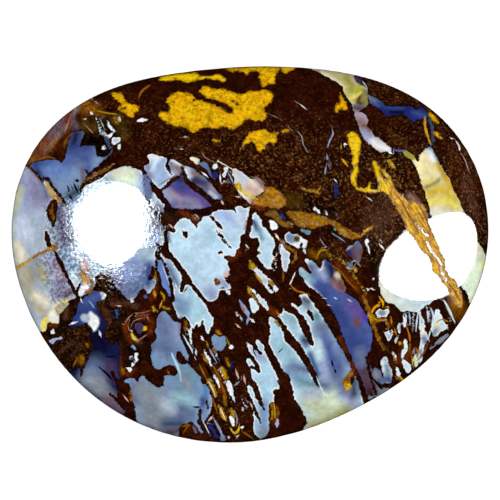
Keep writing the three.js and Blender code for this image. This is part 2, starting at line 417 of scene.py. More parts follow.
# Soft changes of colour inside the opal, as wide brush lines: tone, width, points.
opal_clouds = [
    # the upper left: the blue window and what borders it
    ("lilac", 22, "30,186 28,205 30,225"), ("slub", 14, "34,184 40,200"), ("slate", 5, "44,184 47,196"),
    ("sage", 7, "20,190 14,215 13,240 16,262"), ("mist", 26, "30,225 30,245"),
    ("slub", 16, "56,262 62,280 60,294"), ("steel", 14, "70,250 72,266"), ("ice", 6, "73,274 76,282"),
    ("pale", 60, "112,205 112,235"), ("steel", 8, "74,190 76,200"), ("cream", 10, "116,174 134,172"),
    ("mint", 10, "122,178 138,180"), ("glass", 8, "142,176 143,192"), ("denim", 12, "36,166 48,164"),
    ("sky", 14, "50,171 64,168 62,176"), ("steel", 12, "60,184 70,182 72,178"),
    ("dusk", 6, "40,176 44,180"), ("navy", 5, "37,172 38,173"), ("blue", 10, "68,160 72,150"),
    ("navy", 12, "76,134 74,144"), ("royal", 9, "78,150 88,148"), ("blue", 12, "82,158 92,160 88,168"),
    ("steel", 8, "96,162 104,160"), ("dusk", 7, "108,142 111,150 106,156"),
    ("dusk", 7, "78,190 70,196"), ("mauve", 4, "83,169 83,182"), ("slub", 6, "148,168 150,176"),
    # the pale field at the left
    ("steel", 24, "124,282 138,276"), ("slate", 10, "128,294 136,290"), ("pink", 6, "83,262 86,268"),
    ("rose", 8, "84,274 88,286"), ("cream", 6, "54,308 60,305 66,301"), ("lemon", 4, "62,304 67,301"),
    ("steel", 4, "159,263 161,268"), ("white", 5, "151,157 158,158"),
    ("heather", 14, "58,208 62,224 64,238"), ("slub", 10, "112,276 120,284"),
    ("slate", 8, "106,278 114,280"), ("peri", 12, "134,260 140,272"), ("peri", 12, "122,266 128,276"),
    ("slate", 12, "126,290 138,288"), ("royal", 8, "149,266 148,282"),
    ("heather", 12, "158,212 157,224"), ("blue", 10, "86,302 98,296"), ("sand", 18, "26,272 32,290"),
    ("stone", 12, "38,266 40,274"), ("sand", 10, "38,300 42,310"), ("mist", 10, "38,288 44,296"),
    ("cream", 8, "36,296 46,302"), ("sand", 6, "40,268 44,278"), ("cream", 8, "18,246 22,258"),
    ("ice", 3, "156,160 152,170"), ("smoke", 5, "66,296 70,292"), ("frost", 12, "18,222 26,236"),
    ("peri", 6, "155,234 156,244"), ("haze", 8, "58,266 62,274"), ("frost", 8, "74,250 78,258"),
    # the lower left and the left slope
    ("steel", 9, "180,308 184,312"), ("lilac", 10, "176,326 178,336"), ("plum", 4, "154,343 153,348"),
    ("steel", 18, "162,360 166,352"), ("dove", 22, "150,394 160,402"), ("stone", 20, "146,402 152,412"),
    ("slate", 8, "134,386 136,400"), ("teal", 14, "188,374 186,386"), ("sea", 12, "178,402 190,406"),
    ("royal", 5, "203,400 203,412"), ("steel", 8, "204,416 206,412"), ("slate", 14, "178,414 184,416"),
    ("plum", 6, "150,426 170,434"), ("stone", 14, "150,420 160,424"), ("royal", 12, "80,308 88,310"),
    ("denim", 8, "76,318 84,322"), ("ink", 12, "96,340 97,350"), ("navy", 14, "106,330 110,346"),
    ("ink", 9, "98,336 104,346"), ("dusk", 10, "96,360 104,364"), ("slate", 12, "92,368 98,372"),
    ("dove", 14, "88,380 98,384"), ("stone", 10, "100,388 108,396"), ("plum", 10, "110,366 114,378"),
    ("mauve", 12, "110,400 120,406"), ("denim", 5, "116,312 116,318"), ("stone", 10, "140,388 146,398"),
    ("slate", 8, "158,316 160,328"),
    # the top
    ("stone", 4, "318,72 328,76"),
    # the middle
    ("lilac", 7, "223,282 227,287"), ("lilac", 10, "210,292 214,296"), ("pink", 4, "226,275 228,272"),
    ("mustard", 5, "250,265 253,268"), ("ice", 4, "256,270 258,273"), ("frost", 9, "240,174 244,180"),
    ("white", 2, "236,169 250,178"), ("rose", 4, "262,183 265,189"), ("pink", 8, "250,188 256,190"),
    ("white", 5, "240,195 250,201"), ("lemon", 2.5, "241,191 256,198"), ("rose", 6, "252,201 258,198"),
    ("glass", 10, "224,213 232,222"), ("glass", 8, "216,212 220,214"), ("frost", 10, "244,211 243,221"),
    ("rose", 3, "247,222 246,229"), ("indigo", 4.5, "254,222 257,229"), ("teal", 4, "259,230 262,238"),
    ("pale", 10, "212,236 220,244"), ("steel", 10, "176,300 184,304"), ("slate", 4, "171,163 172,167"),
    ("fawn", 7, "176,167 180,171"), ("white", 2.4, "173,160 180,164"), ("frost", 6, "187,170 190,176"),
    ("fawn", 5, "193,173 198,176"), ("navy", 4, "193,180 200,183"), ("heather", 7, "205,186 212,191"),
    ("frost", 3, "210,192 216,197"), ("navy", 5, "178,179 182,180"), ("royal", 6, "177,186 184,187"),
    ("lilac", 8, "164,192 170,198"), ("slub", 6, "186,200 196,203"), ("slub", 4, "176,206 200,207"),
    ("denim", 5, "164,280 168,290"), ("slate", 6, "168,264 172,274 177,284"),
    ("lilac", 3, "166,258 171,266"), ("heather", 5, "166,226 168,240"), ("mauve", 5, "256,178 262,184"),
    ("plum", 4, "182,178 190,186"), ("haze", 5, "170,192 180,200"), ("haze", 4, "211,187 216,191"),
    ("plum", 4, "196,179 204,183"),
    # below the middle
    ("sea", 20, "286,350 292,362"), ("lilac", 8, "256,350 262,358"), ("steel", 13, "264,404 264,432"),
    ("stone", 10, "264,434 264,440"), ("slate", 14, "164,324 166,332"), ("sea", 10, "176,398 190,400"),
    ("slate", 10, "182,410 190,414"), ("mauve", 3, "179,320 181,334"),
    ("glass", 4, "213,342 217,349 224,346"), ("lilac", 3, "210,394 212,404 209,414"),
    ("azure", 4, "205,387 206,396"), ("slub", 5, "181,320 183,328"), ("dusk", 9, "166,424 180,424"),
    ("smoke", 6, "170,432 182,430"), ("slate", 12, "158,346 170,350"), ("dove", 8, "184,378 187,388"),
    ("mist", 8, "164,404 172,410"),
    # the top right
    ("pear", 20, "332,76 344,86 352,98"), ("sand", 6, "349,79 353,86"), ("khaki", 4, "344,90 352,91"),
    ("umbra", 3, "343,88 346,92"), ("lime", 5, "354,90 361,87"), ("lemon", 5, "350,98 356,96"),
    ("white", 3, "351,101 353,103"), ("umbra", 7, "362,93 358,102 364,104"),
    ("heather", 5, "356,109 364,107"), ("haze", 7, "359,116 364,118"), ("fawn", 6, "360,122 363,127"),
    ("brick", 4, "365,126 369,130"), ("lilac", 6, "363,132 368,137"), ("white", 8, "374,143 386,149"),
    ("slate", 5, "371,98 378,103"), ("ink", 4, "392,112 402,112"),
    ("denim", 3, "378,103 390,108 402,108"), ("royal", 5, "414,112 424,116"),
    ("steel", 6, "428,146 431,150"), ("khaki", 2, "404,152 410,156"), ("moss", 5, "346,78 352,86"),
    ("pear", 5, "340,82 346,92 352,100"), ("lime", 3, "356,92 362,86"), ("khaki", 5, "364,94 366,102"),
    ("lemon", 2.4, "348,100 356,96 361,92"), ("cream", 4, "322,74 334,80 342,88"),
    ("smoke", 4, "354,107 360,109"),
    # right of the middle
    ("indigo", 6, "348,248 350,254"), ("mauve", 6, "356,250 360,258"), ("brick", 3, "363,248 362,256"),
    ("slate", 5, "357,243 360,246"), ("mist", 2, "347,249 351,246 355,242"),
    # the big blue window and the long pane
    ("royal", 16, "324,294 334,304"), ("blue", 16, "340,296 350,306"), ("royal", 10, "334,314 342,328"),
    ("royal", 14, "352,336 358,344"), ("slate", 12, "360,356 358,364"), ("plum", 16, "364,372 367,384"),
    ("bark", 10, "368,388 370,392"), ("ice", 7, "308,300 304,296"), ("teal", 8, "316,316 322,328"),
    ("steel", 12, "326,334 320,330"), ("slate", 20, "338,366 336,378"), ("teal", 14, "328,388 336,386"),
    ("mint", 22, "330,400 338,402"), ("lilac", 14, "348,396 352,402"),
    ("moss", 12, "312,426 330,420 346,412"), ("sage", 22, "312,404 322,410"),
    ("steel", 6, "303,338 306,346"), ("sea", 8, "294,322 290,318"), ("neon", 6, "361,312 365,317"),
    ("violet", 14, "352,308 358,312"), ("brick", 5, "357,320 357,324"),
    ("royal", 10, "338,312 344,324"), ("royal", 12, "344,344 352,356"),
    ("smoke", 12, "366,366 368,380"), ("slate", 8, "360,352 362,362"), ("dusk", 6, "304,340 306,342"),
    ("dove", 10, "319,330 324,328"), ("slate", 14, "336,376 344,388"), ("sea", 10, "302,270 308,279"),
    ("pale", 8, "305,261 311,264"), ("heather", 6, "311,266 315,271"), ("glass", 8, "320,271 326,276"),
    ("navy", 8, "331,266 332,276"), ("white", 2.4, "322,262 322,268"),
    ("frost", 3, "306,282 314,291 320,297"), ("cream", 4, "337,275 338,276"),
    ("brick", 5, "340,284 343,288"), ("steel", 12, "288,372 300,378"), ("slate", 8, "294,366 306,370"),
    ("teal", 9, "302,382 312,384"), ("slate", 9, "320,384 326,386"), ("mist", 8, "306,394 318,394"),
    ("slate", 10, "322,330 326,342"), ("blue", 14, "328,346 334,364"), ("ice", 7, "317,344 320,358"),
    ("lilac", 6, "322,364 327,378"), ("denim", 5, "310,354 318,374"), ("dusk", 8, "353,382 354,394"),
    ("dove", 6, "303,304 308,308"), ("dusk", 5, "304,299 308,302"),
    # the cream body and the wide vein
    ("mint", 26, "472,262 470,284"), ("lemon", 5, "484,262 484,270"), ("sand", 7, "480,250 480,256"),
    ("ice", 10, "458,276 464,284"), ("teal", 4, "434,152 439,163"), ("white", 5, "428,154 432,162"),
    ("cream", 12, "436,210 456,212"), ("steel", 3.4, "404.5,318 405,322"),
    ("lilac", 3, "422,318 423,323"), ("cream", 5, "422,329 425,334"), ("white", 5, "437,313 440,318"),
    ("cream", 5, "435,322 438,328"), ("stone", 5, "436,330 434,334"), ("mint", 16, "470,256 470,282"),
    ("cream", 6, "472,240 478,252"), ("pale", 40, "436,252 412,272 420,290"),
    ("white", 18, "448,226 456,244 460,262"), ("lemon", 5, "428,204 442,201 456,206"),
    ("bronze", 2, "438,164 447,178 457,195"), ("buff", 7, "443,288 449,297"),
    ("honey", 16, "430,193 442,190 453,200"), ("khaki", 3, "426,187 433,184 439,180"),
    ("gold", 4, "436,164 443,175 450,188"), ("butter", 7, "417,158 420,168 423,179"),
    ("butter", 7, "425,156 428,166 431,176"), ("lemon", 2.4, "421,182 428,182 433,178"),
    ("lemon", 5, "430,203 443,200 457,206"), ("butter", 5, "432,164 435,174"),
    ("white", 4, "429,153 432,160"),
    # the comb of slits at the lower right
    ("slate", 4.5, "424,338 426,342"), ("steel", 3, "421,350 421,357"),
    ("lilac", 3.4, "388,335 389,338"), ("mint", 3, "406,343 405,348"), ("white", 3, "382,362 384,370"),
    ("teal", 3.4, "386,366 388,374"), ("denim", 4.5, "388,378 390,381"),
    ("stone", 5, "375,372 376,376"),
]

# Ironstone veins across the opal: width or widths along the line, points.
iron_veins = [
    # the upper left: the blue window and what borders it
    ((2.5, 3, 3), "27,165 35,173 42,181"),
    ((2, 3, 3, 2.5), "44,178 47,178 51,184 57,192 63,200 66,205"), (3, "76,180 79,182"),
    (2, "74,184 78,193"), (2.5, "85,170 88,174"), (2.2, "101,135 106,145 110,153"),
    # the pale field at the left
    (2, "68,187 69,192 65,197"), (1.8, "69,195 72,199"),
    ((2, 6, 5, 1.5), "46,232 48,240 49,245 53,247"),
    ((2.5, 3, 5, 4, 3, 4, 3), "54,250 57,256 60,262 64,270 68,278 72,286 77,296"),
    (2, "105,222 104,226"), (3.5, "80,284 77,291"),
    ((3, 3, 3.2, 3.5, 4, 5), "141,165 146,175 152,184 158,190 163,197 170,208"),
    ((2, 1.5, 3), "146,196 149,200 150,208"), ((2, 4, 5, 4), "152,211 158,214 162,218 166,226"),
    ((3, 5, 4), "153,267 153,273 150,278"), ((2, 5, 2), "144,289 141,294 137,301"),
    # the lower left and the left slope
    ((2.5, 4, 4.5, 2.5), "78,297 72,302 66,306 60,310"), ((3, 4, 3), "112,372 118,385 125,397 133,408"),
    (2, "99,367 105,372 110,377 113,381"), ((2, 4, 4), "110,394 117,400 125,408"),
    (1.4, "105,356 110,357 116,356"), ((2, 3, 2), "86,324 92,331"),
    # the middle
    ((2.5, 3, 3, 2.5), "169,158 167.5,163 168,168 171,174"),
    ((3, 3, 2.6, 2.5, 2), "182,168 184,174 187,181 194,187 203,194 212,201 221,203"),
    (2.2, "164,226 166,234 167,242 168,250"), (2.5, "161,231 162,233"),
    ((3, 6, 7), "157,244 162,250 169,256"),
    ((2, 2.5, 2.5, 2, 2, 3), "157,250 156,258 157,268 159,278 163,287 170,297"),
    ((2, 2, 3, 3, 4), "160,256 164,263 168,273 171,284 173,300"),
    ((4, 4, 4.5, 5, 5.5, 5, 4, 4, 4), "166,249 171,256 176,262 181,269 186,277 190,283 195,289 200,295 "
        "206,302"),
    ((4, 3, 2), "184,280 182,286 180.5,291"), ((2, 3, 3, 2), "209,214 214,220 219,225 222,228"),
    (3, "216,230 220,235 225,242 231,248"), ((3, 2), "194,222 197,228"), (3, "219,254 222,252"),
    ((2, 5, 2), "183,231 185,234 187,237"), (2, "222,288 223,288"), (2.4, "224,276 228,283"),
    ((5, 5, 4, 4), "252,210 250,217 249,224 247,232"), (1.6, "184,292 187,288"),
    # below the middle
    ((5, 4, 2), "252,340 256,348 261,354"), ((3, 4, 4, 3), "249,353 253,359 257,366 259,371"),
    ((3, 3), "252,367 257,370"), ((4, 6, 6, 5, 2), "247,380 254,385 257,393 260,401 264,410"),
    ((3, 3, 3, 1.5), "249,397 254,407 257,415 261,423"),
    ((4, 7, 8, 8, 9), "264,342 270,354 276,365 281,376 285,384"), (2, "278,380 278,383"),
    ((2, 3), "203,321 203,327"), ((3, 2), "197,325 196,329"),
    (3, "197,407 200,409 200,415 201,422 204,430"), ((2, 2.5, 2), "207,398 207,403 208,409"),
    (2, "194,407 199,407"), ((5, 8, 7, 4), "179,354 180,358 183,361 186,362"),
    (1.2, "253,347 254,352 256,356"), (1, "278,353 281,350 283,348"),
    ((1, 2.2, 1), "206,366 210,373 213,379"), ((1, 2, 1), "217,352 220,358 223,365"),
    ((1, 2, 1), "225,398 228,404 230,410"),
    # the big blue window and the long pane
    ((3, 4, 3), "300,263 305,268 310,272"),
    ((4, 4.4, 4.6, 4.4, 4, 2.5), "286.5,340 296.5,349.5 304,360 311,371 315,379 319,386"),
    ((6, 8, 8, 7, 6, 5, 4, 4), "311,291 320,300 328,311 335,324 342,341 348,355 354,368 360,381"),
    ((4, 5, 6), "360,381 363,391 366,402"), ((2, 3.5, 4, 3, 2), "308,310 311,315 313,320"),
    ((4, 5, 5.5, 6, 4.5, 2.5), "299,316 302,322 306,329 309,336 311,342 312,345"),
    ((3, 5, 7, 8), "290,306 296,313 301,319 306,329"), ((1, 2, 3), "352,376 351,383"),
    (2.2, "331.5,361 333,366"), (2, "335,370 335.5,372"),
    ((1.5, 3, 3, 3), "366,357 369,370 372,381 376,394"), ((2, 3, 3), "371,394 374,397 376,400"),
    # the cream body and the wide vein
    ((1.5, 3), "414,157 418,160"), ((4, 3), "430,217 427,213"),
    ((1.2, 2.4, 3.4, 4), "452,278 459,285.5 464.5,293 468,302"),
    # the comb of slits at the lower right
    (2, "390,329 391,333"), (1.8, "404,315 404.5,316"), (2, "373,398 376,397"),
    ((1.5, 2.4, 2.4), "371,377 376,382 381,388"), ((1.4, 2.4, 1), "378,358 380.5,368 382.5,376"),
]

# Closed islands of ironstone in the opal.
iron_islands = [
    (
        "136,362 140,352 150,350 151,362 156,369 160,369 168,367 174,367 177,371 176,375 170,374 "
        "165,374 164,380 163,386 158,388 152,383 145,377 139,376 132,377"
    ),
    "56,199 58,205 57,213 56,219 55,224 53,228 51,223 48,218 46,213 48,206 51,201",
    "118,379 122,384 128,384 131,389 130,394 132,401 135,409 132,414 127,411 121,405 118,399 118,390",
    (
        "274,404 274,394 277,390 284,386 290,388 294,398 300,408 306,420 305,427 290,440 270,442 "
        "269,430 270,412"
    ),
]

# Small chips of opal in the ironstone, and two painted glints of the lamps: tone, outline.
opal_chips_and_glints = [
    # the upper left: the blue window and what borders it
    ("slate", "144,174 147,177 151,184 152,192 150,199 146,196 144,186"),
    # These two white chips are painted glints of the lamps.
    ("white", "90,111.5 93,111.5 93.5,114 91.5,115.5 89.5,114"),
    ("white", "102,145.5 104,146 105,148.5 103.5,150 101.5,148.5"),
    ("ice", "106.5,120 109,122 112,127 116,131 115,133 111,130 108,126"),
    ("white", "103,129 105.5,132 108,135 112,132.5 112.5,134.5 109,138 105,136 103,133"),
    ("frost", "112,138.5 116,137 120.5,138 119,142 115,145.5 112.5,143"),
    ("ice", "117,145 120,144 121.5,148 120,151 117.5,149"),
    ("dusk", "104,137 108,138 110,143 110,149 107,150 105,144"),
    # the pale field at the left
    ("buff", "46,182 49,184 52,188 55,192 58,197 60,202 57,201 53,198 49,192 46.5,187"),
    # the lower left and the left slope
    ("ice", "125,367 128,368 131,368 132,371 130,373 128,371"),
    ("steel", "131,345 134,345 137,348 136,351 133,349"),
    ("plum", "135,325 139,322 143,324 145,328 143,332 139,334 136,332"),
    ("cream", "51,312 55,311 59,312 59,318 59,323 55,323.5 50,321 48,318"),
    ("white", "51,315 55,316 56,320 52,319"),
    ("lemon", "43,320 47,318 48,322 45,325 46,330 44,332 41.5,327"),
    ("lilac", "50,340 55,338 61,336 62,339 57,341 53,344 50,343"),
    ("ice", "51,331 54,329 54.5,333 51,334"), ("white", "129,357 131,355.5 134,357 133,360 130,360"),
    ("ice", "134,354 139,352 138,356 138,360 136,363 134.5,361"),
    ("royal", "131,358 133,357.5 132.5,360 131,360"), ("ice", "132,363 134,363.5 134,366.5 132,366"),
    ("white", "90,313 93,315 97,318 98,322 97,326 94,330 91,328 89.5,324"),
    ("mist", "82,316 84,315 88,316 89,320 85,321 82,319"),
    ("denim", "115,310 118,309 119,316 118,320 116,320 115,315"),
    ("sand", "56,308 61,304.5 67,302 70,303 67,307 62,312 59,315 57,312"),
    # the middle
    ("white", "269,221 272,220 275,222 278,226 276,229 272,230 270,226"),
    ("indigo", "279,214 282,213 285,217 287,220 284,220 281,217"),
    ("teal", "297,228 303,229 309,230 311,233 307,235 302,232"),
    ("frost", "250,264 256,267 260,270 265,275 270,279 274,284 278,289 276,293 274,291 273,287 270,284 "
        "268,284 270,288 273,292 271,293 267,290 263,285 259,279 255,273 250,268"),
    ("frost", "248,288 254,289 257,293 261,297 265,300 267,304 269,309 267,311 264,308 261,304 257,299 "
        "254,294"),
    ("sky", "158,260 161,261 163,265 165,270 167,276 169,283 170,290 172,297 169,297 167,292 163,287 "
        "161,281 160,275 158,268"),
    ("cream", "190,157 197,157.5 201,159.5 200,162 197,165 194,162.5 191,160"),
    ("slate", "199,163 204,161 208,165 212,172 216,178 213,179 206,170 201,166"),
    ("white", "213,164 217,163.5 218,168 215,170 213,168"),
    ("indigo", "212,172 216,171 218,176 217,179 213,177"),
    ("frost", "223.5,168 228,167 228.5,171 226,175 224,178 222,176 223.5,172"),
    ("frost", "274.5,263 276,262 277,266 277,269 275,267"),
    ("white", "284,236 288,232 290,230 292,234 297,234 302,237 307,240 308,242 306,247 307,254 305,255 "
        "303,252 303,246 302,243 300,244 299,248 295,247 290,244 286,242"),
    ("steel", "286.5,236 290,234 294,236 295,241 291,242.5 287.5,240.5"),
    # below the middle
    ("ice", "249,300 253,298 256,301 259,307 258,311 254,313 251,310"),
    ("lilac", "277,418 279,423 278,428 276,428 275,424"),
    ("peri", "238,298 241,300 243,303 245,306 247,309 249,312 250,317 250,320 248.5,322 246.5,325 "
        "246,321 247,318 245,314 243,311 240,306"),
    ("ice", "203,350 205,350.5 208,355 211,361 212.5,367 210,365 207,360 204,354"),
    ("white", "227,380 230,381 232,386 234,391 233,396 230.5,396 228,392 226.5,387 226,383"),
    ("steel", "213,335 216,334 219,337 222,335 225,336 226,341 226,346 223,350 219,351 215,349 212,345 "
        "211,340"),
    ("white", "229,415 232,416.5 234.5,420 235,425 233,426 230,422"),
    ("white", "231,344 233.5,345 234,348 231,349.5 228.5,348 229,345.5"),
    # the top right
    ("plum", "355,77 358,77 361,80 362,84 359,83 356,80"),
    ("moss", "402,151 407,150 412,154 415,158 410,159.5 405,156"),
    # right of the middle
    ("olive", "295.5,237 298,236.5 299,239 298,241 296,241"),
    # the big blue window and the long pane
    ("slate", "346,263 350,262 353,264 353,267 349,268 347,266"),
    # the comb of slits at the lower right
    ("ice", "397.5,326 399,322 400.5,324 401,328 400.5,332 399.5,334 398,331"),
    ("frost", "403,315 405,313 406.5,315 407,320 406,326 404.5,328 403,323"),
    ("lilac", "399,325 400.5,327 400.5,331 399,329"),
    ("frost", "376,312 380,309 383,310 388,309 389,312 387,315 386,318 382,316.5 378,318 377,315"),
    ("stone", "380,311.5 384,312 384,314.5 380.5,314.5"),
    ("ice", "392,352 395,353.5 396.5,357 396,361 393.5,358"),
    ("ice", "395.5,367 398,368 400.5,373 400.5,379 398,378 396,373"),
    ("mint", "413.5,355 416,354 418,360 417,366 415,367 413.5,361"),
    ("mist", "394,343 395,338 398,336 397.5,340 395.5,344"),
]

# Slits and beads of pale opal in the ironstone, and painted glints of the lamps on the polish: tone,
# width or widths, points.
opal_flecks_and_glints = [
    # the upper left: the blue window and what borders it
    ("lilac", 2, "103,119 103,123"), ("cream", 1.8, "119.5,118 120,119"),
    ("rose", 1.0, "86,126 92,132"), ("haze", 1.0, "99,122 104,132"),
    ("rose", 1.0, "28,168 34,174 40,181"), ("pink", 2, "85,119 85.5,119"),
    ("mauve", 1.4, "62,128 70,124"), ("white", 1.6, "44.5,182.5 45,184"),
    # The first white fleck on the next line is a painted glint of the lamps.
    ("white", (2, 3.4, 2), "138,120.5 142,120 147,120"), ("haze", 2, "91,98 94,101 97,103"),
    ("rose", (1, 1.8, 1), "69,120 67,126 65,131"), ("ice", 1.2, "96,118 99,126 100,132"),
    ("mist", 1.0, "101,121 104,128"),
    # the pale field at the left
    ("white", 2.4, "56,195 58,200"), ("violet", 4, "144,295 147,298"),
    # The white flecks at 86,284 and 83,288 are painted glints at the edge of the left bright patch.
    ("white", (2, 3, 2), "103,293 105,295 104,298"), ("white", 3.4, "86,284 87,287"),
    ("white", (2, 3.4, 2), "83,288 81,292 79,295"),
    # the lower left and the left slope
    ("white", 3, "132,301 133,302"), ("pink", 2, "118,306 120,306"), ("cream", 2.4, "124,323 127,321"),
    ("cream", 2.4, "130,328 131,330"), ("rose", 1.2, "147,316 148.5,320"),
    ("rose", 1.2, "138,341 142,338 146,335"),
    ("rose", 1.2, "126,322 129,317 135,313.5 141,313 149,311"), ("white", 1.6, "81,300 81.5,301"),
    ("steel", (1.6, 2.2), "90,302 93,306"), ("white", 2.4, "99.5,332 100.5,335"),
    ("pink", 1.6, "124,396 128,401"), ("white", 2.2, "71,324 76,322"),
    ("cream", 1.4, "133,318.5 134,317"), ("rose", 1.0, "131,327 133,322 138,319 144,318"),
    # the top
    ("mauve", 0.9, "267,113 280,119"), ("pink", 2.2, "185,137 185.5,137"),
    ("pink", 2.2, "181,149 181.5,149"), ("rose", 0.9, "296,102 301,105"),
    ("white", 1.1, "301,105 306,109"), ("fawn", 0.7, "288,126 290,129 293,131"),
    ("haze", 1.0, "298,132 302,137 303,144 307,151"), ("fawn", 0.7, "267,113 274,116 280,119"),
    # the middle
    ("pink", 2.4, "222,202 222.5,203"), ("pink", 2, "238,197 238.5,197"), ("tan", 2, "192,216 193,219"),
    ("pink", 1.8, "196,215 198,217"), ("pink", 1.6, "170,225 172,227"),
    ("cream", 2.2, "276,235 278,238"), ("pink", 2, "222,277 228,275"),
    ("fawn", 1.0, "158,186 164,182 172,177.5 180,172.5"), ("white", 1.6, "203,173 207,176"),
    ("frost", 1.6, "218,178 220,182 223,181 226,182"), ("white", 1.4, "220,176 220.5,181"),
    ("glass", 1.2, "229,174 231,178 233,183"), ("cream", 1.2, "211,157 218,161 225,165 232,169"),
    ("fawn", 1.0, "202,153 206,158 214,162"), ("rose", 0.8, "251,177 258,178 264,183"),
    ("fawn", 1.2, "245.5,250 245.5,251"), ("cream", 1.4, "247,246 247.5,246.5"),
    ("white", 0.9, "277.5,244 276.5,251 276.5,258"), ("mist", 0.9, "280,243 279,250"),
    ("white", 1.2, "295,273 292,280 289,286"), ("white", 1.6, "166,266 166.5,267"),
    ("white", 1.6, "169,276 169.5,277"), ("white", 1.6, "176,285 176.5,287"),
    ("frost", 1.0, "161,262 165,272 169,284"),
    # below the middle
    ("white", 2.6, "283,309 283.5,309"), ("pink", (2, 2.5), "236,312 238,316"),
    ("mist", 2, "241,318 241.5,319"), ("pink", 1.8, "237,325 239,327"),
    ("white", 2.4, "252,320 253,321"), ("ice", 1.5, "184,336 187,342 192,350 195,358"),
    ("pale", 3, "191,328 190,334 191,340 192,346"), ("ice", 1.6, "196,350 196,354"),
    ("lilac", 1.6, "209,346 211,352 216,361"),
    ("white", (2, 3, 3, 2), "214,375 216,379 218,383 219,387"), ("white", 2.4, "202,338 202.5,339"),
    ("cream", 3, "216,354 217,356"), ("navy", 3, "233,361 231,368 230,373"),
    ("pink", 2, "236,371 238,377"), ("pink", 2.4, "244,377 245,382"), ("stone", 2, "235,385 239,382"),
    ("ice", 2.4, "233,396 234,400"), ("ice", 2.2, "243,401 246,406"), ("stone", 1.6, "246,400 251,406"),
    ("pink", 2.6, "242,407 243,411"), ("pink", 1.8, "251,404 252,407"),
    ("white", 2.6, "241,428 244,426"), ("pink", 3, "228,436 229,438"), ("pink", 2, "237,437 239,433"),
    ("mist", 2.4, "208,424 209,434"), ("pink", 2, "209,420 212,417"), ("slate", 6, "222,436 224,440"),
    ("mauve", 4, "193,426 196,432"), ("pale", (1.4, 2.2, 2.4, 1.4), "172,354 175,361 179,370 181,380"),
    ("cream", 1.2, "209,382 212,388 215,395"), ("white", 1.4, "220.5,371 222.5,377 225,381"),
    ("cream", 1.2, "220,408 223,414 225,419"), ("indigo", (3, 4.4, 3), "209,424 213,430 217,437"),
    ("lilac", (1.4, 2.4, 1.4), "215,421 219,428 223,437"), ("white", 1.2, "188,330 190,333"),
    ("haze", 1.6, "235.5,413 237,418 237,424"), ("frost", 1.0, "203,421 206,427 209,433"),
    # the top right
    ("blue", 2, "391,150 405,151"), ("white", 2.4, "389,152 391,153"),
    ("white", 2, "345,144 345.5,144"),
    ("lilac", (0.6, 1.4, 1.4, 0.8), "332,129 333,134 330,140 328,146"),
    ("white", 0.9, "451,138 456,141"), ("white", 1.4, "456,141 459,146 460,152"),
    ("mist", 1.4, "363,82 366,86 367,90"),
    ("dusk", (2.5, 3, 3, 2.5), "429,118 432,128 433,138 431,145"),
    # right of the middle
    ("steel", 2.2, "327,156 328,161"), ("mauve", 1.8, "330,162 331,166"),
    ("green", 4, "335,229 335.5,229"), ("lilac", 1.6, "326,167 325,173"),
    ("indigo", (2, 4, 4, 2), "335,181 336,187 336.5,192 335,198"), ("white", 1.4, "335,180 336,181"),
    # The white flecks at 368,198, 315,209, 324,210 and 366.5,240 are painted glints of the lamps.
    ("white", 1.4, "368,198 371,200"), ("violet", 1.8, "336,213 337,216"),
    ("white", (3.4, 3.6, 1.5), "315,209 318,211 320,214"),
    ("white", (1.5, 3, 2), "324,210 326,212 327,215"), ("steel", 1.2, "333,234 338,237 344,241"),
    ("haze", 1.0, "321,240 325,246 329,248"), ("white", (3.4, 2.6), "366.5,240 366.5,244"),
    ("white", (1.6, 1.8, 1), "367,245 368.5,248 369,252"),
    # the big blue window and the long pane
    ("sand", 1.8, "352,262 355,261 359,265"), ("ice", 1.3, "317,378 321,388 326,397"),
    ("stone", 3, "369,399 376,396"), ("white", 2.6, "372.5,278 373.5,280"),
    ("rose", 1.0, "332,280 334,286 338,290 344,292"), ("mist", 1.0, "347,268 352,269 355,265"),
    ("cream", 2, "368,290 368.5,290.5"), ("white", 1.6, "372,289 372.5,289"),
    ("white", 1.2, "324,298 324.5,298"), ("white", 1.2, "328,305 328.5,305"),
    ("white", 1.2, "335,298 336,298.5"), ("white", 1.2, "349,300 350,300.5"),
    ("haze", 1.4, "302,268 305,271"),
    # the cream body and the wide vein
    # The pink fleck at 401,194 and the white one at 380,245 are painted glints of the lamps.
    ("pink", 1.8, "401,194 404,198"), ("pink", 1.8, "381,241 383,244"),
    ("mauve", (2, 3), "440,297 443,301"), ("haze", 0.8, "461,153 465,160 469,172"),
    ("white", 2, "380,245 383,248"),
    # the comb of slits at the lower right
    ("ice", 1.4, "413,309 414,317 415,325"), ("neon", 2.4, "413.5,328.5 414,330"),
    ("ice", (1, 2.2, 1), "427,308 428,314 428,320"), ("frost", (1, 2, 1), "431,309 433,314 432.5,320"),
    ("ice", (1.4, 2.4, 2.4, 1), "445,302 448,308 451,314 454,321"),
    ("stone", 1.2, "436,345 430,349 424,352"),
    ("cream", (1.4, 2.4, 1.4), "437,325 441,321 446,322 447,327"),
    ("mist", 1.2, "409,312 410,320 410,330"), ("ice", (0.8, 1.6, 0.8), "418,312 417,320 416,330"),
    ("frost", (0.8, 1.6, 0.8), "411,336 412,344 413,352"),
    ("ice", (0.8, 1.4, 0.8), "430,332 428,340 425,348"),
]

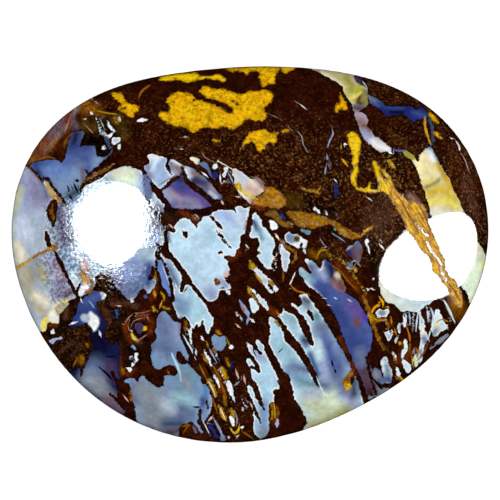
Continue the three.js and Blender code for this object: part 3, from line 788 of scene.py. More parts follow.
# Ochre patches: tone, outline.
ochre_patches = [
    # the upper left: the blue window and what borders it
    ("ochre", "112,93 121,93 124,98 128,103 136,105 139,108 138,111 134,113 134,117 129,117 124,113 "
        "119,111 118,107 122,105 118,101 114,98"),
    # the pale field at the left
    ("ochre", "51,246 54,244 57,246 58,249 55,251 51,250"),
    # the top
    ("ochre", "166,101 170,95 178,92 192,94 196,99 203,101 210,104 218,106 224,110 228,113 232,114 "
        "233,110 228,105 222,102 214,99 207,98 201,93 199,91 203,87 209,86 213,89 222,89 230,91 237,93 "
        "243,94 250,91 258,91 263,89 268,90 272,93 273,97 271,102 266,107 264,109 266,114 266,118 "
        "262,121 255,121 250,119 246,120 241,125 236,128 230,129 226,127 220,127 215,129 208,127 "
        "202,128 199,130 196,132 190,132 188,129 182,126 176,127 170,124 163,120 158,115 161,112 "
        "168,112 170,108 168,104"),
    ("ochre", "226,68 250,67 277,66 278,72 275,77 275,84 268,84 264,87 261,85 260,80 258,76 259,72 "
        "252,71 246,75 243,72 236,71 232,72"),
    ("ochre", "281,67 296,67 292,71 284,73"),
    ("ochre", "240,149 243,143 246,137 250,132 256,131 264,129 267,130 269,133 275,133 280,132 276,136 "
        "277,140 275,144 270,143 266,145 265,149 262,150 261,153 258,151 256,147 255,144 251,142 "
        "247,144 243,147"),
    ("yellow", "159,78 165,76 175,74 185,73 196,73 200,76 210,76 218,74 223,77 226,80 222,82 218,80 "
        "212,79 205,79 198,80 190,82 184,82 178,80 168,81 161,81"),
    # the middle
    ("ochre", "235,184 239,183 241,187 242,191 239,190 236,188"),
    ("bronze", "286,212 292,211 300,211 308,213 316,214 325,217 333,220 337,222 342,226 350,230 "
        "358,234 361,237 356,239 348,238 341,235 337,231 335,227 330,224 320,227 314,229 306,227 "
        "300,227 295,223 290,217"),
    ("rust", "214,279 217,278 220,280 221,283 218,286 215,284"),
    ("mustard", "248,262 250,260 253,263 257,267 255,269 252,270 249,267"),
    ("amber", "264,188 270,186 275,189 281,193 285,198 286,203 283,207.5 276,208 265,207 258,205 "
        "252,204 255,198 260,196 264,192"),
    ("tan", "264,213 270,210 276,211 280,216 284,221 290,222 294,225 290,228 284,227 278,223 273,218 "
        "267,216"),
    # below the middle
    ("tan", "184,320 187,320 188,324 187.5,329 186,331 184,328"),
    ("mustard", "206,379 209,378.5 212,381 214.5,386 217,392 217,397 214.5,397 212,392 209,386 "
        "207,382"),
    ("mustard", "220,367 223,366.5 225.5,370 228,376 227,380 224,379 222,374 220,370"),
    ("mustard", "229,408 232,408.5 235,412 236.5,417 234,418 231,415 229,411"),
    ("straw", "218,405 220,405 223,410 226,417 226,421 223,419 220,413"),
    # the top right
    ("ochre", "336,104 340,103 340,93 343,97 346,103 348,109 345,110 340,109 338,112 335,112"),
    # right of the middle
    ("yellow", "347,134 350,132 355,132 359,136 361,142 360,150 359,156 359,161 357,166 359,171 "
        "357,175 356,179 358,185 363,188 367,187 370,180 371,184 371,188 375,190 378,187 377,178 "
        "374,170 372,163 374,160 377,163 380,168 384,170 388,173 391,177 393,184 397,190 394,196 "
        "388,195 384,192 378,192 370,193 362,191 356,189 352,184 350,178 352,172 354,168 352,162 "
        "353,156 351,151 349,143"),
    # the big blue window and the long pane
    ("bronze", "343,386 343,381 345,377 349,373 352,370 353,374 351,378 350,382 352,385 351,389 "
        "347,391 344,389"),
    # the cream body and the wide vein
    ("saffron", "391,184 398,192 403,196 407,200 413,201 420,203 425,208 427,214 428,220 431,228 "
        "434,235 437,242 440,250 443,255 445,262 446,270 448,274 452,278 456,280 457,284 460,290 "
        "462,296 463,303 461,307 458,307 454,303 451,297 448,290 444,284 440,278 436,274 433,272 "
        "432,266 430,260 427,255 422,251 418,246 415,240 410,234 406,229 405,222 401,216 397,210 "
        "394,205 391,199 389,192"),
    ("straw", "387,157 390,160 394,165 396,170 392,168 388,163"),
]

# Ochre lines: tone, width or widths, points.
ochre_lines = [
    # the upper left: the blue window and what borders it
    ("ochre", 1.2, "95,110 96.5,114"), ("mustard", 2, "114,117 115,118"),
    ("mustard", 2, "116,122 117,123"), ("bronze", (1.4, 2.2, 1.4), "95,176 104,169 113,164"),
    ("tan", (1, 1.6, 1), "100,174 110,168"),
    ("bronze", (1.4, 2.4, 2, 1), "139,97 142,91 147,87 150,85"),
    ("mustard", (1, 1.6, 1), "98,111 107,113 116,114"),
    ("bronze", (1.4, 3, 1.4), "50,150 54,144 58,140"), ("tan", (1.4, 3, 2), "64,148 66,140 72,134"),
    ("bronze", (1, 2.2, 1), "38,160 46,157 54,158"), ("tan", (1, 2.4, 1), "78,112 86,106 92,103"),
    ("tan", (1.4, 3, 2, 1), "84,182 94,175 104,170 114,164"),
    # the pale field at the left
    ("gold", (3, 2.6, 2.6), "16,268 25,263 34,257"), ("amber", (2.6, 3, 4), "34,257 45,251 55,247"),
    ("ochre", (1.5, 3, 1.5), "153,290 155,293 154,297"), ("bronze", 3, "155,272 157,282"),
    ("ochre", (2, 4, 3), "82,272 84,279 88,284"), ("amber", 4, "85,293 92,290"),
    ("amber", 3, "91,280 93,286"), ("tan", (2, 3.2, 3.2, 2), "53,204 51,211 53,216 54,221"),
    ("amber", 2, "57,197 60,201"),
    # the lower left and the left slope
    ("yellow", (2, 4, 2), "143,330 146,327"), ("lemon", (3, 4, 3), "132,334 134,338 137,341"),
    ("ochre", (2, 4, 2), "153,307 154.5,310 157,311"), ("bronze", 4, "82,356 83,362"),
    ("bronze", 3, "87,344 87.5,346"), ("bronze", 2, "77,359 74,365"), ("bronze", 4, "122,367 124,374"),
    ("bronze", 3, "131,390 131,402"),
    # the top
    ("ochre", (2.5, 3, 2), "282,131 288,131"), ("ochre", (1.5, 3.2, 2), "212,140 216,140.5 221,140"),
    # the middle
    ("bronze", (3, 3.5, 3, 2.5, 2), "281,240 285,245 290,249 295,252 296,258 292,263"),
    ("mustard", (2, 4, 3, 2), "248,287 250,292 253,296 259,304"),
    ("mustard", 2.4, "256,275 260,280 262,283"), ("mustard", 4, "269,281 273,285"),
    ("mustard", 2.4, "274,260 275,260"), ("mustard", (2, 4, 2), "163,306 165.5,308 169,309"),
    ("ochre", (1.5, 3, 1.5), "161,292 164,296 164,300"), ("yellow", 1.4, "241,191 248,196 256,199"),
    ("bronze", 2, "283,273 283.5,280"),
    # below the middle
    ("bronze", 4, "203,355 207,362"), ("bronze", 3, "213,348 216,353"),
    ("bronze", 4, "224,395 226,405"), ("mustard", 2, "207,343 208,346"),
    ("orange", 3.4, "217,331 221,334"), ("straw", 2, "162,302 160,307"),
    ("orange", 2.4, "242,307 244,311"), ("mustard", (3, 2), "276,322 280,326"),
    ("amber", 2, "277,312 279,315"), ("bronze", 2, "168,371 169,374"), ("bronze", 2, "243,432 252,438"),
    ("bronze", 2, "183,426 188,425 184,432"),
    ("gold", (1.4, 2.4, 2.4, 1.4), "231,429 234,433 238,431 239,427"),
    ("mustard", (1.4, 3, 1.4), "226,358 228,362 230,367"),
    ("bronze", (1.4, 2.2, 1.4), "213,366 217,373 221,381"),
    ("bronze", (1, 2.4, 1), "200,366 203,372 206,378"),
    ("bronze", (1.4, 2.4, 1.4), "221,384 224,391 226,398"), ("mustard", 1.8, "227,339 229,344"),
    ("bronze", (1, 2, 1), "212,398 215,405 217,412"),
    ("mustard", (1.4, 3, 2), "271,403 273,411 272,420"),
    ("bronze", (1.4, 2.6, 1.4), "277,405 278,412 276,420"), ("straw", 1.0, "274,404 275,411 275,418"),
    # the top right
    ("mustard", 1.8, "341,145 341,149"),
    ("straw", (2, 2.4, 2.4, 1.5), "425,119 425,126 427,134 430,143"),
    ("ochre", (3, 5, 2), "430,114 433,117 438,123"), ("ochre", (3, 4, 2), "434,133 438,135 441,138"),
    # right of the middle
    ("mustard", (2, 3, 2), "301,187 306,190 313,191 320,193"), ("mustard", 1.6, "317,192 320,188"),
    ("ochre", (2, 3, 2), "361,236 367,230 373,227"), ("ochre", 2.2, "343,160 347,165"),
    ("mustard", (1.4, 2.4, 1.4), "317,257 320,251 325,250"),
    ("mustard", (2, 3, 2), "326,251 330,256 331,259"),
    # the big blue window and the long pane
    ("ochre", 3.5, "355,269 356,271"), ("amber", 2, "292,287 297,291 308,294"),
    ("mustard", (1.6, 2.6, 2.6, 2, 1.6, 2.2), "335,257 343,262 350,270 356,278 361,286 366,294"),
    ("bronze", (1, 2.2, 2, 1), "333,266 341,272 348,281 355,288"),
    ("straw", (2, 3, 2), "345,386 347,388 350,386"),
    ("bronze", (3, 4, 4, 3.4, 2), "363,296 367,305 371,318 376,332 384,350"),
    # the cream body and the wide vein
    ("mustard", 1.4, "409,236 412,241 415,247"), ("mustard", 1.6, "426,272 430,276 434,280 442,286"),
    ("amber", (1, 2.4, 1), "398,196 404,206 412,220"),
    ("bronze", (1, 2.2, 1), "402,202 408,214 418,232"),
    ("bronze", (1, 2.4, 1), "420,206 426,218 430,230"),
    ("amber", (1, 2.2, 1), "432,250 438,262 442,270"),
    ("bronze", (1, 2.4, 1), "446,280 454,290 460,300"),
    ("ochre", (1.4, 2.4, 2.4, 1.4), "372,312 375,307 381,305 388,307"),
    ("ochre", (1.4, 2.4, 1.4), "380,298 383,302 383,305"),
    # the comb of slits at the lower right
    ("orange", 2, "395,330 396,334"), ("ochre", 3, "400,342 401,344"),
    ("ochre", 2.4, "401,378 402,379"), ("bronze", 2, "397,358 396,362"),
    ("amber", (2, 3, 2), "396,377 400,380"), ("amber", 3, "417,350 419,354"),
    ("amber", 1.6, "394,354 394,359"), ("olive", (1, 2.2, 1), "382,343 389,352"),
    ("mustard", (2, 3.4, 3.4, 2), "370,314 373,317 377,320 382,320"),
    ("bronze", (2, 3, 3, 2), "383,319 386,321 388,325 388,329"), ("orange", 2.2, "391,318 391.5,323"),
    ("mustard", 1.4, "436,323 441,319.5 447,321"), ("bronze", 1.6, "407,335 410,344 409,352"),
    ("orange", 1.6, "417,350 418,354"), ("straw", 1.4, "412,358 413,366"),
    ("bronze", (0.8, 1.6, 0.8), "428,344 424,352 418,360"),
    ("orange", (0.8, 1.6, 0.8), "407,328 409,334 410,340"),
]

# Gaps in the ochre where the ironstone or the opal shows: width or widths, points.
ochre_gaps = [
    (1.8, "233,101 237,104"), (2.4, "194,100 194.5,100"), (1.8, "121,109 125,108"),
    ((7, 10, 8), "360,176 361.5,181 361,184"), ((5, 7, 5), "373.5,181 374,184 374,186"),
    ((1.2, 2.5, 1.5), "380,171 383,175 386,180"), (1.4, "414,220 420,228 428,237"),
    ((1, 2.4, 2.4, 1), "427,242 431,250 437,258 442,266"), ((1, 2, 1), "440,266 443,274 448,283"),
]

# Painted glint speckle around the left bright patch, where the rippled polish breaks up the lamp's
# reflection: lighter and darker flecks in the opal's colour, with a stronger ripple in the relief:
# amount, width, points.
glint_speckle_zones = [
    (1.0, 20, "60,210 64,236 70,260"), (0.8, 20, "54,262 62,290"), (0.9, 22, "76,262 96,276 112,282"),
    (0.6, 16, "152,214 158,240"), (0.5, 14, "136,282 148,276"), (0.5, 12, "100,184 84,196"),
]

# Where the ochre is crumbly and takes no polish: amount, width, points.
ochre_dulling = [
    (1.0, 40, "396,196 412,210 436,255 458,300"),
]

# Ironstone colours, as soft brush lines: tone, width, points.
iron_stains = [
    # the upper left: the blue window and what borders it
    ("brick", 14, "64,122 50,136 40,150 34,158"), ("bark", 8, "62,140 64,156"),
    ("bronze", 3, "55,141 50,147"), ("haze", 5, "76,108 70,116"), ("mauve", 10, "60,122 54,132"),
    ("rust", 7, "96,106 98,112"), ("black", 12, "102,150 104,155"), ("black", 6, "116,136 106,126"),
    ("bronze", 10, "84,106 92,108"), ("amber", 5, "87,104 91,110"), ("olive", 9, "84,124 94,130"),
    ("black", 8, "92,136 98,146"), ("rust", 6, "70,112 66,124"), ("amber", 4, "31,160 35,159"),
    ("brick", 5, "44,150 38,157"), ("mauve", 4, "72,120 76,128"), ("fawn", 3, "46,150 58,136 66,126"),
    ("olive", 5, "100,110 104,116"), ("olive", 8, "116,118 124,134"), ("black", 10, "86,140 100,142"),
    # the pale field at the left
    ("rust", 5, "155,288 152,298"), ("rust", 6, "104,316 106,320"),
    ("soot", 24, "106,290 112,306 124,330"),
    # the lower left and the left slope
    ("soot", 34, "60,326 70,350 84,362"), ("cocoa", 4, "66,307 66,317"), ("cocoa", 3, "52,343 62,337"),
    ("cocoa", 2.5, "60,352 72,342"), ("cocoa", 3, "72,356 80,344"), ("rust", 4, "50,324 56,324"),
    ("bronze", 4, "81,358 82,362"), ("cocoa", 4, "119,346 120,376"), ("soot", 18, "128,344 140,350"),
    ("rust", 4, "147,317 152,322 150,334"), ("cocoa", 4, "140,342 134,341"),
    ("rust", 5, "140,318 146,314"), ("rust", 4, "127,322 126,332 131,342"),
    ("cocoa", 4, "112,304 128,302 136,306"), ("rust", 4, "134,369 128,374 122,372"),
    ("cocoa", 4, "104,310 110,316 108,324"),
    # the top
    ("umber", 40, "300,86 320,112"),
    # the middle
    ("rust", 6, "237,252 232,258"), ("rust", 5, "250,204 262,207"), ("brick", 6, "191,216 198,220"),
    ("cocoa", 10, "182,212 170,214"), ("soot", 14, "164,210 184,210 200,212"),
    ("rust", 4, "180,212 196,218"),
    # below the middle
    ("rust", 6, "272,408 276,424"), ("bark", 12, "188,430 200,436"), ("rust", 5, "216,374 222,390"),
    ("rust", 5, "266,306 276,314"),
    # the top right
    ("bark", 20, "460,160 468,190"), ("black", 7, "420,88 450,112 470,142"),
    # right of the middle
    ("umber", 22, "352,216 346,222"), ("black", 12, "300,206 330,208"),
    ("olive", 10, "292,200 298,202"), ("bark", 10, "340,252 346,258"), ("olive", 5, "323,254 326,256"),
    ("bronze", 5, "311,252 315,256"),
    # the big blue window and the long pane
    ("rust", 8, "366,300 370,310"), ("rust", 4, "340,338 346,350"), ("rust", 5, "352,364 354,374"),
    ("bark", 8, "364,300 374,330"), ("rust", 4, "338,264 350,278 358,290"),
    ("rust", 4, "353,364 352,372"),
    # the cream body and the wide vein
    ("black", 12, "372,250 376,268"), ("black", 8, "478,236 482,246"),
    ("bronze", 12, "456,304 460,312"), ("rose", 6, "410,196 418,206"), ("rose", 5, "446,290 456,302"),
    ("black", 5, "452,279 464,288 470,302"), ("black", 7, "488,200 489,240 484,262"),
    ("cocoa", 22, "386,208 378,228"), ("cocoa", 8, "466,180 474,214"),
    # the comb of slits at the lower right
    ("bark", 6, "386,350 392,366"), ("rust", 6, "408,350 404,362"), ("rust", 5, "404,344 400,360"),
    ("rust", 5, "410,354 416,352"), ("umber", 9, "366,308 374,330 384,356"),
]

# How strongly tan grains speckle the ironstone: amount, width, points.
iron_grains = [
    (0.7, 60, "250,160 300,165 330,180"), (0.5, 30, "280,176 300,186"), (1.0, 40, "388,160 410,196"),
    (0.3, 50, "310,136 340,150"), (1.0, 34, "392,200 380,236"), (0.7, 36, "460,160 474,215"),
    (0.3, 40, "110,110 160,140"), (0.4, 60, "170,140 230,150"), (0.4, 40, "80,345 100,300"),
    (0.3, 60, "215,400 235,420"), (0.5, 24, "330,250 350,262"), (0.6, 20, "282,150 292,176"),
    (0.7, 24, "300,176 316,200"), (0.6, 30, "340,200 372,212"), (0.5, 30, "420,130 446,200"),
    (0.9, 16, "474,212 480,236"), (0.5, 40, "380,80 440,120"),
]

# How far from a mark's edge the mesh knows about it, in pixels.
edge_reach = 12.0
# Lines up to this width are hairlines, drawn from the side that a place lies on, which stays
# sharp on the mesh; the band is how far from a hairline the mesh knows about it.
hair_width = 2.4
hair_band = 3.2
# A mark's tone fades out beyond its edge: over how many pixels, and its weight on the edge.
# Brush lines are soft from their middle on, and chips are a little smaller than drawn.
broad_fade = (2.0, 1.5)
fine_fade = (1.5, 1.4)
brush_weight = 0.55
chip_shrink = 0.2
# Bare ironstone is faintly speckled all over.
iron_speckling = 0.08
far_away = 1000.0
shortest_step = 1e-9


def colour_of(code):
    """A colour written as on a web page, as linear light."""
    coded = [int(code[i : i + 2], 16) / 255 for i in (1, 3, 5)]
    return [c / 12.92 if c <= 0.04045 else ((c + 0.055) / 1.055) ** 2.4 for c in coded] + [1.0]


def points_of(path):
    """The points of a drawn line or outline."""
    return np.array([spot.split(",") for spot in path.split()], float)


def rounded(path, closed):
    """The points with two more between each pair, on a smooth curve through them."""
    points = points_of(path)
    if len(points) < 3:
        return points[0] + np.linspace(0, 1, 5)[:, None] * (points[-1] - points[0])
    before = np.roll(points, 1, axis=0)
    after = np.roll(points, -1, axis=0)
    beyond = np.roll(points, -2, axis=0)
    if not closed:
        before[0] = points[0]
        after[-1] = points[-1]
        beyond[-1] = points[-1]
        beyond[-2] = points[-1]
    rows = []
    for part in (0.0, 1 / 3, 2 / 3):
        square_part = part * part
        cube_part = square_part * part
        rows.append(
            0.5 * (
                2 * points
                + (after - before) * part
                + (2 * before - 5 * points + 4 * after - beyond) * square_part
                + (3 * points - before - 3 * after + beyond) * cube_part
            )
        )
    curve = np.stack(rows, axis=1).reshape(-1, 2)
    return curve if closed else np.vstack([curve[:-3], points[-1:]])


def tapered(widths):
    """A single width thins out towards the line's ends."""
    return (0.5 * widths, widths, widths, 0.5 * widths) if np.isscalar(widths) else widths


def nearby(places, path, margin):
    """The places within the points' box and a margin."""
    points = points_of(path)
    inside = (places > points.min(0) - margin) & (places < points.max(0) + margin)
    return np.nonzero(inside.all(axis=1))[0]


def line_depth(places, widths, path):
    """How deep each place lies inside a tapering line, in pixels and negative outside it, and how
    far it is from the line's middle, negative on the left."""
    curve = rounded(path, closed=False)
    widths = np.atleast_1d(np.array(widths, float))
    along = np.linspace(0, 1, len(curve))
    half = np.interp(along, np.linspace(0, 1, len(widths)), widths) / 2
    deepest = np.full(len(places), -far_away)
    side = np.full(len(places), far_away)
    for i in range(len(curve) - 1):
        start = curve[i]
        step = curve[i + 1] - start
        away = places - start
        part = np.clip((away @ step) / max(step @ step, shortest_step), 0, 1)
        gap = np.linalg.norm(away - part[:, None] * step, axis=1)
        depth = half[i] + (half[i + 1] - half[i]) * part - gap
        turn = np.where(away[:, 0] * step[1] > away[:, 1] * step[0], -1.0, 1.0)
        side = np.where(depth > deepest, turn * gap, side)
        deepest = np.maximum(deepest, depth)
    return deepest, side


def patch_depth(places, path):
    """How deep each place lies inside a closed outline, in pixels; negative outside it."""
    outline = rounded(path, closed=True)
    nearest = np.full(len(places), far_away)
    inside = np.zeros(len(places), bool)
    for i in range(len(outline)):
        start = outline[i]
        end = outline[(i + 1) % len(outline)]
        step = end - start
        part = np.clip(((places - start) @ step) / max(step @ step, shortest_step), 0, 1)
        gap = np.linalg.norm(places - start - part[:, None] * step, axis=1)
        nearest = np.minimum(nearest, gap)
        if start[1] != end[1]:
            crosses = (start[1] > places[:, 1]) != (end[1] > places[:, 1])
            crossing_x = start[0] + (places[:, 1] - start[1]) * step[0] / step[1]
            inside ^= crosses & (places[:, 0] < crossing_x)
    return np.where(inside, nearest, -nearest)


def paint_markings(places):
    """The markings at picture places, by the names that the material reads: the depths inside
    ironstone and ochre, the side of the nearest hairline, and the tones of the opal, ironstone,
    ochre and hairlines, each with its painted glint speckle, speckling, crumbling or half width as alpha."""
    light = {name: np.array(colour_of(code)) for name, code in tones.items()}
    count = len(places)
    iron_depth = np.full(count, edge_reach)
    ochre_depth = np.full(count, -edge_reach)
    hair_side = np.full(count, edge_reach)

    def plain(tone, amount):
        """One tone and one amount all over."""
        return np.tile([*light[tone][:3], amount], (count, 1))

    opal_tint = plain("pale", 0.0)
    iron_tint = plain("umber", iron_speckling)
    ochre_tint = plain("ochre", 0.0)
    hair_tint = plain("umber", -edge_reach)

    def tint(target, near, weight, tone):
        """Mixes a tone into what is there."""
        weight = np.clip(weight, 0, 1)[:, None]
        target[near, :3] += weight * (light[tone][:3] - target[near, :3])

    def cut(stone_depth, near, depth):
        """Takes a kind of stone away where a mark is."""
        stone_depth[near] = np.minimum(stone_depth[near], -depth)

    def fill(stone_depth, near, depth):
        """Adds a kind of stone where a mark is."""
        stone_depth[near] = np.maximum(stone_depth[near], depth)

    def lay_patches(marks, cut_or_fill, stone_depth, target=None, fade=broad_fade, shrink=0.0):
        """Closed outlines, each with its own tone if there is a target to take it."""
        for tone, path in marks:
            near = nearby(places, path, edge_reach + 1)
            depth = patch_depth(places[near], path) - shrink
            cut_or_fill(stone_depth, near, depth)
            if target is not None:
                tint(target, near, depth / fade[0] + fade[1], tone)

    def lay_lines(marks, cut_or_fill, stone_depth, target=None):
        """Tapering lines, of which the finest are drawn as hairlines."""
        for tone, widths, path in marks:
            if np.max(widths) <= hair_width:
                draw_hairline(tone, widths, path)
                continue
            near = nearby(places, path, edge_reach + 1)
            depth, _ = line_depth(places[near], tapered(widths), path)
            cut_or_fill(stone_depth, near, depth)
            if target is not None:
                tint(target, near, depth / fine_fade[0] + fine_fade[1], tone)

    def draw_hairline(tone, widths, path):
        """A hairline covers the stone whatever lies below, so it has its own fields."""
        near = nearby(places, path, hair_band)
        depth, side = line_depth(places[near], tapered(widths), path)
        within = np.abs(side) < hair_band
        near = near[within]
        hair_side[near] = side[within]
        hair_tint[near, :3] = light[tone][:3]
        hair_tint[near, 3] = depth[within] + np.abs(side[within])

    def brush(marks, target):
        """Soft lines of a tone."""
        for tone, width, path in marks:
            near = nearby(places, path, width)
            depth, _ = line_depth(places[near], width, path)
            tint(target, near, brush_weight + depth / width, tone)

    def spread(marks, target, weight, fade=None):
        """Soft lines of an amount, which fades out over so many pixels, or over the width."""
        for amount, width, path in marks:
            near = nearby(places, path, width)
            depth, _ = line_depth(places[near], width, path)
            share = np.clip(weight + depth / (fade or width), 0, 1)
            target[near, 3] = np.maximum(target[near, 3], amount * share)

    lay_patches(opal_windows.values(), cut, iron_depth, opal_tint)
    brush(opal_clouds, opal_tint)
    lay_patches([("black", path) for path in iron_islands], fill, iron_depth)
    lay_lines([("black", *vein) for vein in iron_veins], fill, iron_depth)
    brush(iron_stains, iron_tint)
    # The painted glint speckle around the left bright patch.
    spread(glint_speckle_zones, opal_tint, weight=1.0, fade=10)
    spread(iron_grains, iron_tint, weight=0.6)
    # Opal chips and flecks, among them the painted glints of the lamps.
    lay_patches(opal_chips_and_glints, cut, iron_depth, opal_tint, fine_fade, chip_shrink)
    lay_lines(opal_flecks_and_glints, cut, iron_depth, opal_tint)
    lay_patches(ochre_patches, fill, ochre_depth, ochre_tint)
    lay_lines(ochre_lines, fill, ochre_depth, ochre_tint)
    for widths, path in ochre_gaps:
        near = nearby(places, path, edge_reach + 1)
        cut(ochre_depth, near, line_depth(places[near], widths, path)[0])
    spread(ochre_dulling, ochre_tint, weight=1.0, fade=8)
    return {
        "iron_edge": iron_depth,
        "ochre_edge": ochre_depth,
        "hair_side": hair_side,
        "hair_tint": hair_tint,
        "opal_tint": opal_tint,
        "iron_tint": iron_tint,
        "ochre_tint": ochre_tint,
    }


# The markings on the stone
# Every point of the surface takes the marking that the camera sees through it, so the pattern
# wraps down over the shoulder. Below a wavering line near the girdle the stone is ironstone all
# round, because the opal is a layer on top of the rock that it grew in.
spots = np.empty(len(stone_mesh.vertices) * 3)
stone_mesh.vertices.foreach_get("co", spots)
spots = spots.reshape(-1, 3)
sight = camera_distance / (camera_distance + girdle_height - spots[:, 2]) / metres_per_px
places = np.column_stack([
    picture_size / 2 + (spots[:, 0] - camera_x) * sight,
    picture_size / 2 - (spots[:, 1] - camera_y) * sight,
])
markings = paint_markings(places)

# The line's height, and its waves: how high, how many round the stone and how far turned.
rock_line_mm = 1.05
rock_waves = ((0.2, 3, 0.6), (0.12, 7, 2.0))
rock_depth_per_mm = 12
round_angle = np.arctan2(spots[:, 1], spots[:, 0])
rock_line = np.full(len(spots), rock_line_mm)
for size, count, turn in rock_waves:
    rock_line += size * np.sin(count * round_angle + turn)
rock_depth = (rock_line - spots[:, 2] / MM) * rock_depth_per_mm
markings["iron_edge"] = np.maximum(markings["iron_edge"], rock_depth)

for name, values in markings.items():
    if values.ndim == 1:
        kind, field = "FLOAT", "value"
        values = values.clip(-edge_reach, edge_reach)
    else:
        kind, field = "FLOAT_COLOR", "color"
    stored = stone_mesh.attributes.new(name, kind, "POINT")
    stored.data.foreach_set(field, values.ravel())
stone_mesh.update()

# The polished surface
# Opal, ironstone and ochre polish differently: opal and ironstone take a glassy finish, and the
# crumbly ochre stays dull. The ground back is satin ironstone with ochre stains and opal threads.
# The tones for the ironstone's hollows and the ochre's pits and furrows are painted shade.
polish_tones = {
    "milky skin": "#f8fbff", "limonite": "#784a14", "tan speck": "#ac8858", "hollow_shade": "#0c0400",
    "dark margin": "#080100", "bright ochre": "#ffd80c", "pit_and_shade": "#5a2c00", "furrow_shade": "#7c4200",
    "pale seam": "#fff0c8", "thin ochre": "#6a3202", "back": "#2e1608", "back patch": "#4c2a12",
    "back speck": "#6e4c20", "back stain": "#96681c", "potch thread": "#b4c4d4",
}
surface = polished_stone.node_tree
surface.nodes.clear()
position = add_node(surface, "ShaderNodeTexCoord").outputs["Object"]


def scaled(vector, amount):
    """A place in other units, or a colour made darker or lighter."""
    return add_node(surface, "ShaderNodeVectorMath", {0: vector, 3: amount}, operation="SCALE").outputs[0]


in_mm = scaled(position, 1 / MM)


def grain(scale, detail=3.0, roughness=0.6, distortion=0.0, where=in_mm):
    """Noise of so many lumps to the millimetre."""
    return add_node(
        surface,
        "ShaderNodeTexNoise",
        {
            "Vector": where,
            "Scale": scale,
            "Detail": detail,
            "Roughness": roughness,
            "Distortion": distortion,
        },
    ).outputs["Fac"]


def ramp(value, low, high, out_low=0.0, out_high=1.0):
    """A value's smooth climb from one level to another."""
    return add_node(
        surface,
        "ShaderNodeMapRange",
        {"Value": value, "From Min": low, "From Max": high, "To Min": out_low, "To Max": out_high},
        interpolation_type="SMOOTHSTEP",
    ).outputs[0]


def blend(factor, first, second):
    """Two colours mixed."""
    inputs = {0: factor, 6: first, 7: second}
    return add_node(surface, "ShaderNodeMix", inputs, data_type="RGBA").outputs[2]


def varied(colour, factor, darkest, lightest):
    """A colour made darker where a factor is low, and lighter where it is high."""
    return blend(factor, scaled(colour, darkest), scaled(colour, lightest))


def product(*values):
    """Values multiplied together."""
    result = values[0]
    for value in values[1:]:
        result = calculate(surface, "MULTIPLY", result, value)
    return result


def laid_over(colour, tone, *amounts):
    """A colour with one of the polish's tones over it, as strong as the amounts multiplied."""
    return blend(product(*amounts), colour, colour_of(polish_tones[tone]))


def lightness_of(colour):
    """How light a colour is."""
    return add_node(surface, "ShaderNodeRGBToBW", {0: colour}).outputs[0]


def depth_mark(name):
    """A marking that the mesh carries as one value."""
    return add_node(surface, "ShaderNodeAttribute", attribute_name=name).outputs["Fac"]


def tint_mark(name):
    """A marking that the mesh carries as a colour, with an amount beside it."""
    outputs = add_node(surface, "ShaderNodeAttribute", attribute_name=name).outputs
    return outputs["Color"], outputs["Alpha"]


# The edges of ironstone and ochre are ragged, and the ochre's are crumbled.
ragged = calculate(surface, "MULTIPLY_ADD", grain(3.2, 5.0, 0.7), 6.0, -2.9)
iron_edge = calculate(surface, "ADD", depth_mark("iron_edge"), ragged)
crumbled = calculate(surface, "MULTIPLY_ADD", grain(4.6, 5.0, 0.75), 8.0, -4.0)
ochre_edge = calculate(surface, "ADD", depth_mark("ochre_edge"), crumbled)
iron_here = ramp(iron_edge, -0.4, 0.4)
ochre_here = ramp(ochre_edge, -0.5, 0.5)

# Streaks run down to the right, as the wide vein does.
streak_turn = math.radians(-55)
streak_size_mm = (0.7, 0.11, 0.25)
along_streaks = add_node(
    surface,
    "ShaderNodeMapping",
    {"Vector": in_mm, "Rotation": (0.0, 0.0, streak_turn), "Scale": streak_size_mm},
    vector_type="TEXTURE",
).outputs[0]
streak = grain(1.0, 4.0, 0.65, 0.0, along_streaks)

# Opal: clouds of milky and clear silica, with a paler skin where it meets the ironstone, and
# painted glint speckle around the left bright patch: lighter and darker flecks.
opal_base, glint_speckle_and_ripple = tint_mark("opal_tint")
cloud = ramp(grain(0.7, 5.0, 0.6, 0.8), 0.36, 0.64)
wisp = ramp(grain(2.6, 5.0, 0.65, 0.5), 0.34, 0.66)
opal_colour = varied(opal_base, cloud, 0.9, 1.08)
opal_colour = varied(opal_colour, wisp, 0.88, 1.1)
# Painted speckle of the lamp's broken reflection: some flecks half again as light, others much darker.
glint_speckle_noise = ramp(grain(5.2, 3.0, 0.6), 0.42, 0.6)
glint_speckled = varied(opal_colour, glint_speckle_noise, 0.32, 1.5)
opal_colour = blend(product(glint_speckle_and_ripple, 0.8), opal_colour, glint_speckled)
parts = add_node(surface, "ShaderNodeSeparateColor", {0: opal_base}).outputs
coolness = ramp(calculate(surface, "SUBTRACT", parts[2], parts[0]), 0.1, 0.24)
skin = product(ramp(iron_edge, -1.8, -0.6), ramp(lightness_of(opal_base), 0.32, 0.6), coolness)
opal_colour = laid_over(opal_colour, "milky skin", skin, 0.9)

# Ironstone: dark brown jasper, black along the opal, with clumps and streaks of tan limonite, and painted
# shade of small hollows.
iron_base, speckling = tint_mark("iron_tint")
shade = ramp(grain(1.1, 5.0, 0.65), 0.38, 0.62)
iron_colour = varied(iron_base, shade, 0.6, 1.2)
iron_colour = varied(iron_colour, ramp(streak, 0.42, 0.62), 0.7, 1.25)
clump = ramp(grain(2.2, 6.0, 0.75, 0.3), 0.52, 0.64)
sliver = ramp(streak, 0.58, 0.7)
grain_here = product(calculate(surface, "MAXIMUM", clump, sliver), speckling)
iron_colour = laid_over(iron_colour, "limonite", grain_here, 0.7)
speck = ramp(grain(6.0, 4.0, 0.7), 0.55, 0.66)
iron_colour = laid_over(iron_colour, "tan speck", speck, speckling, 0.75)
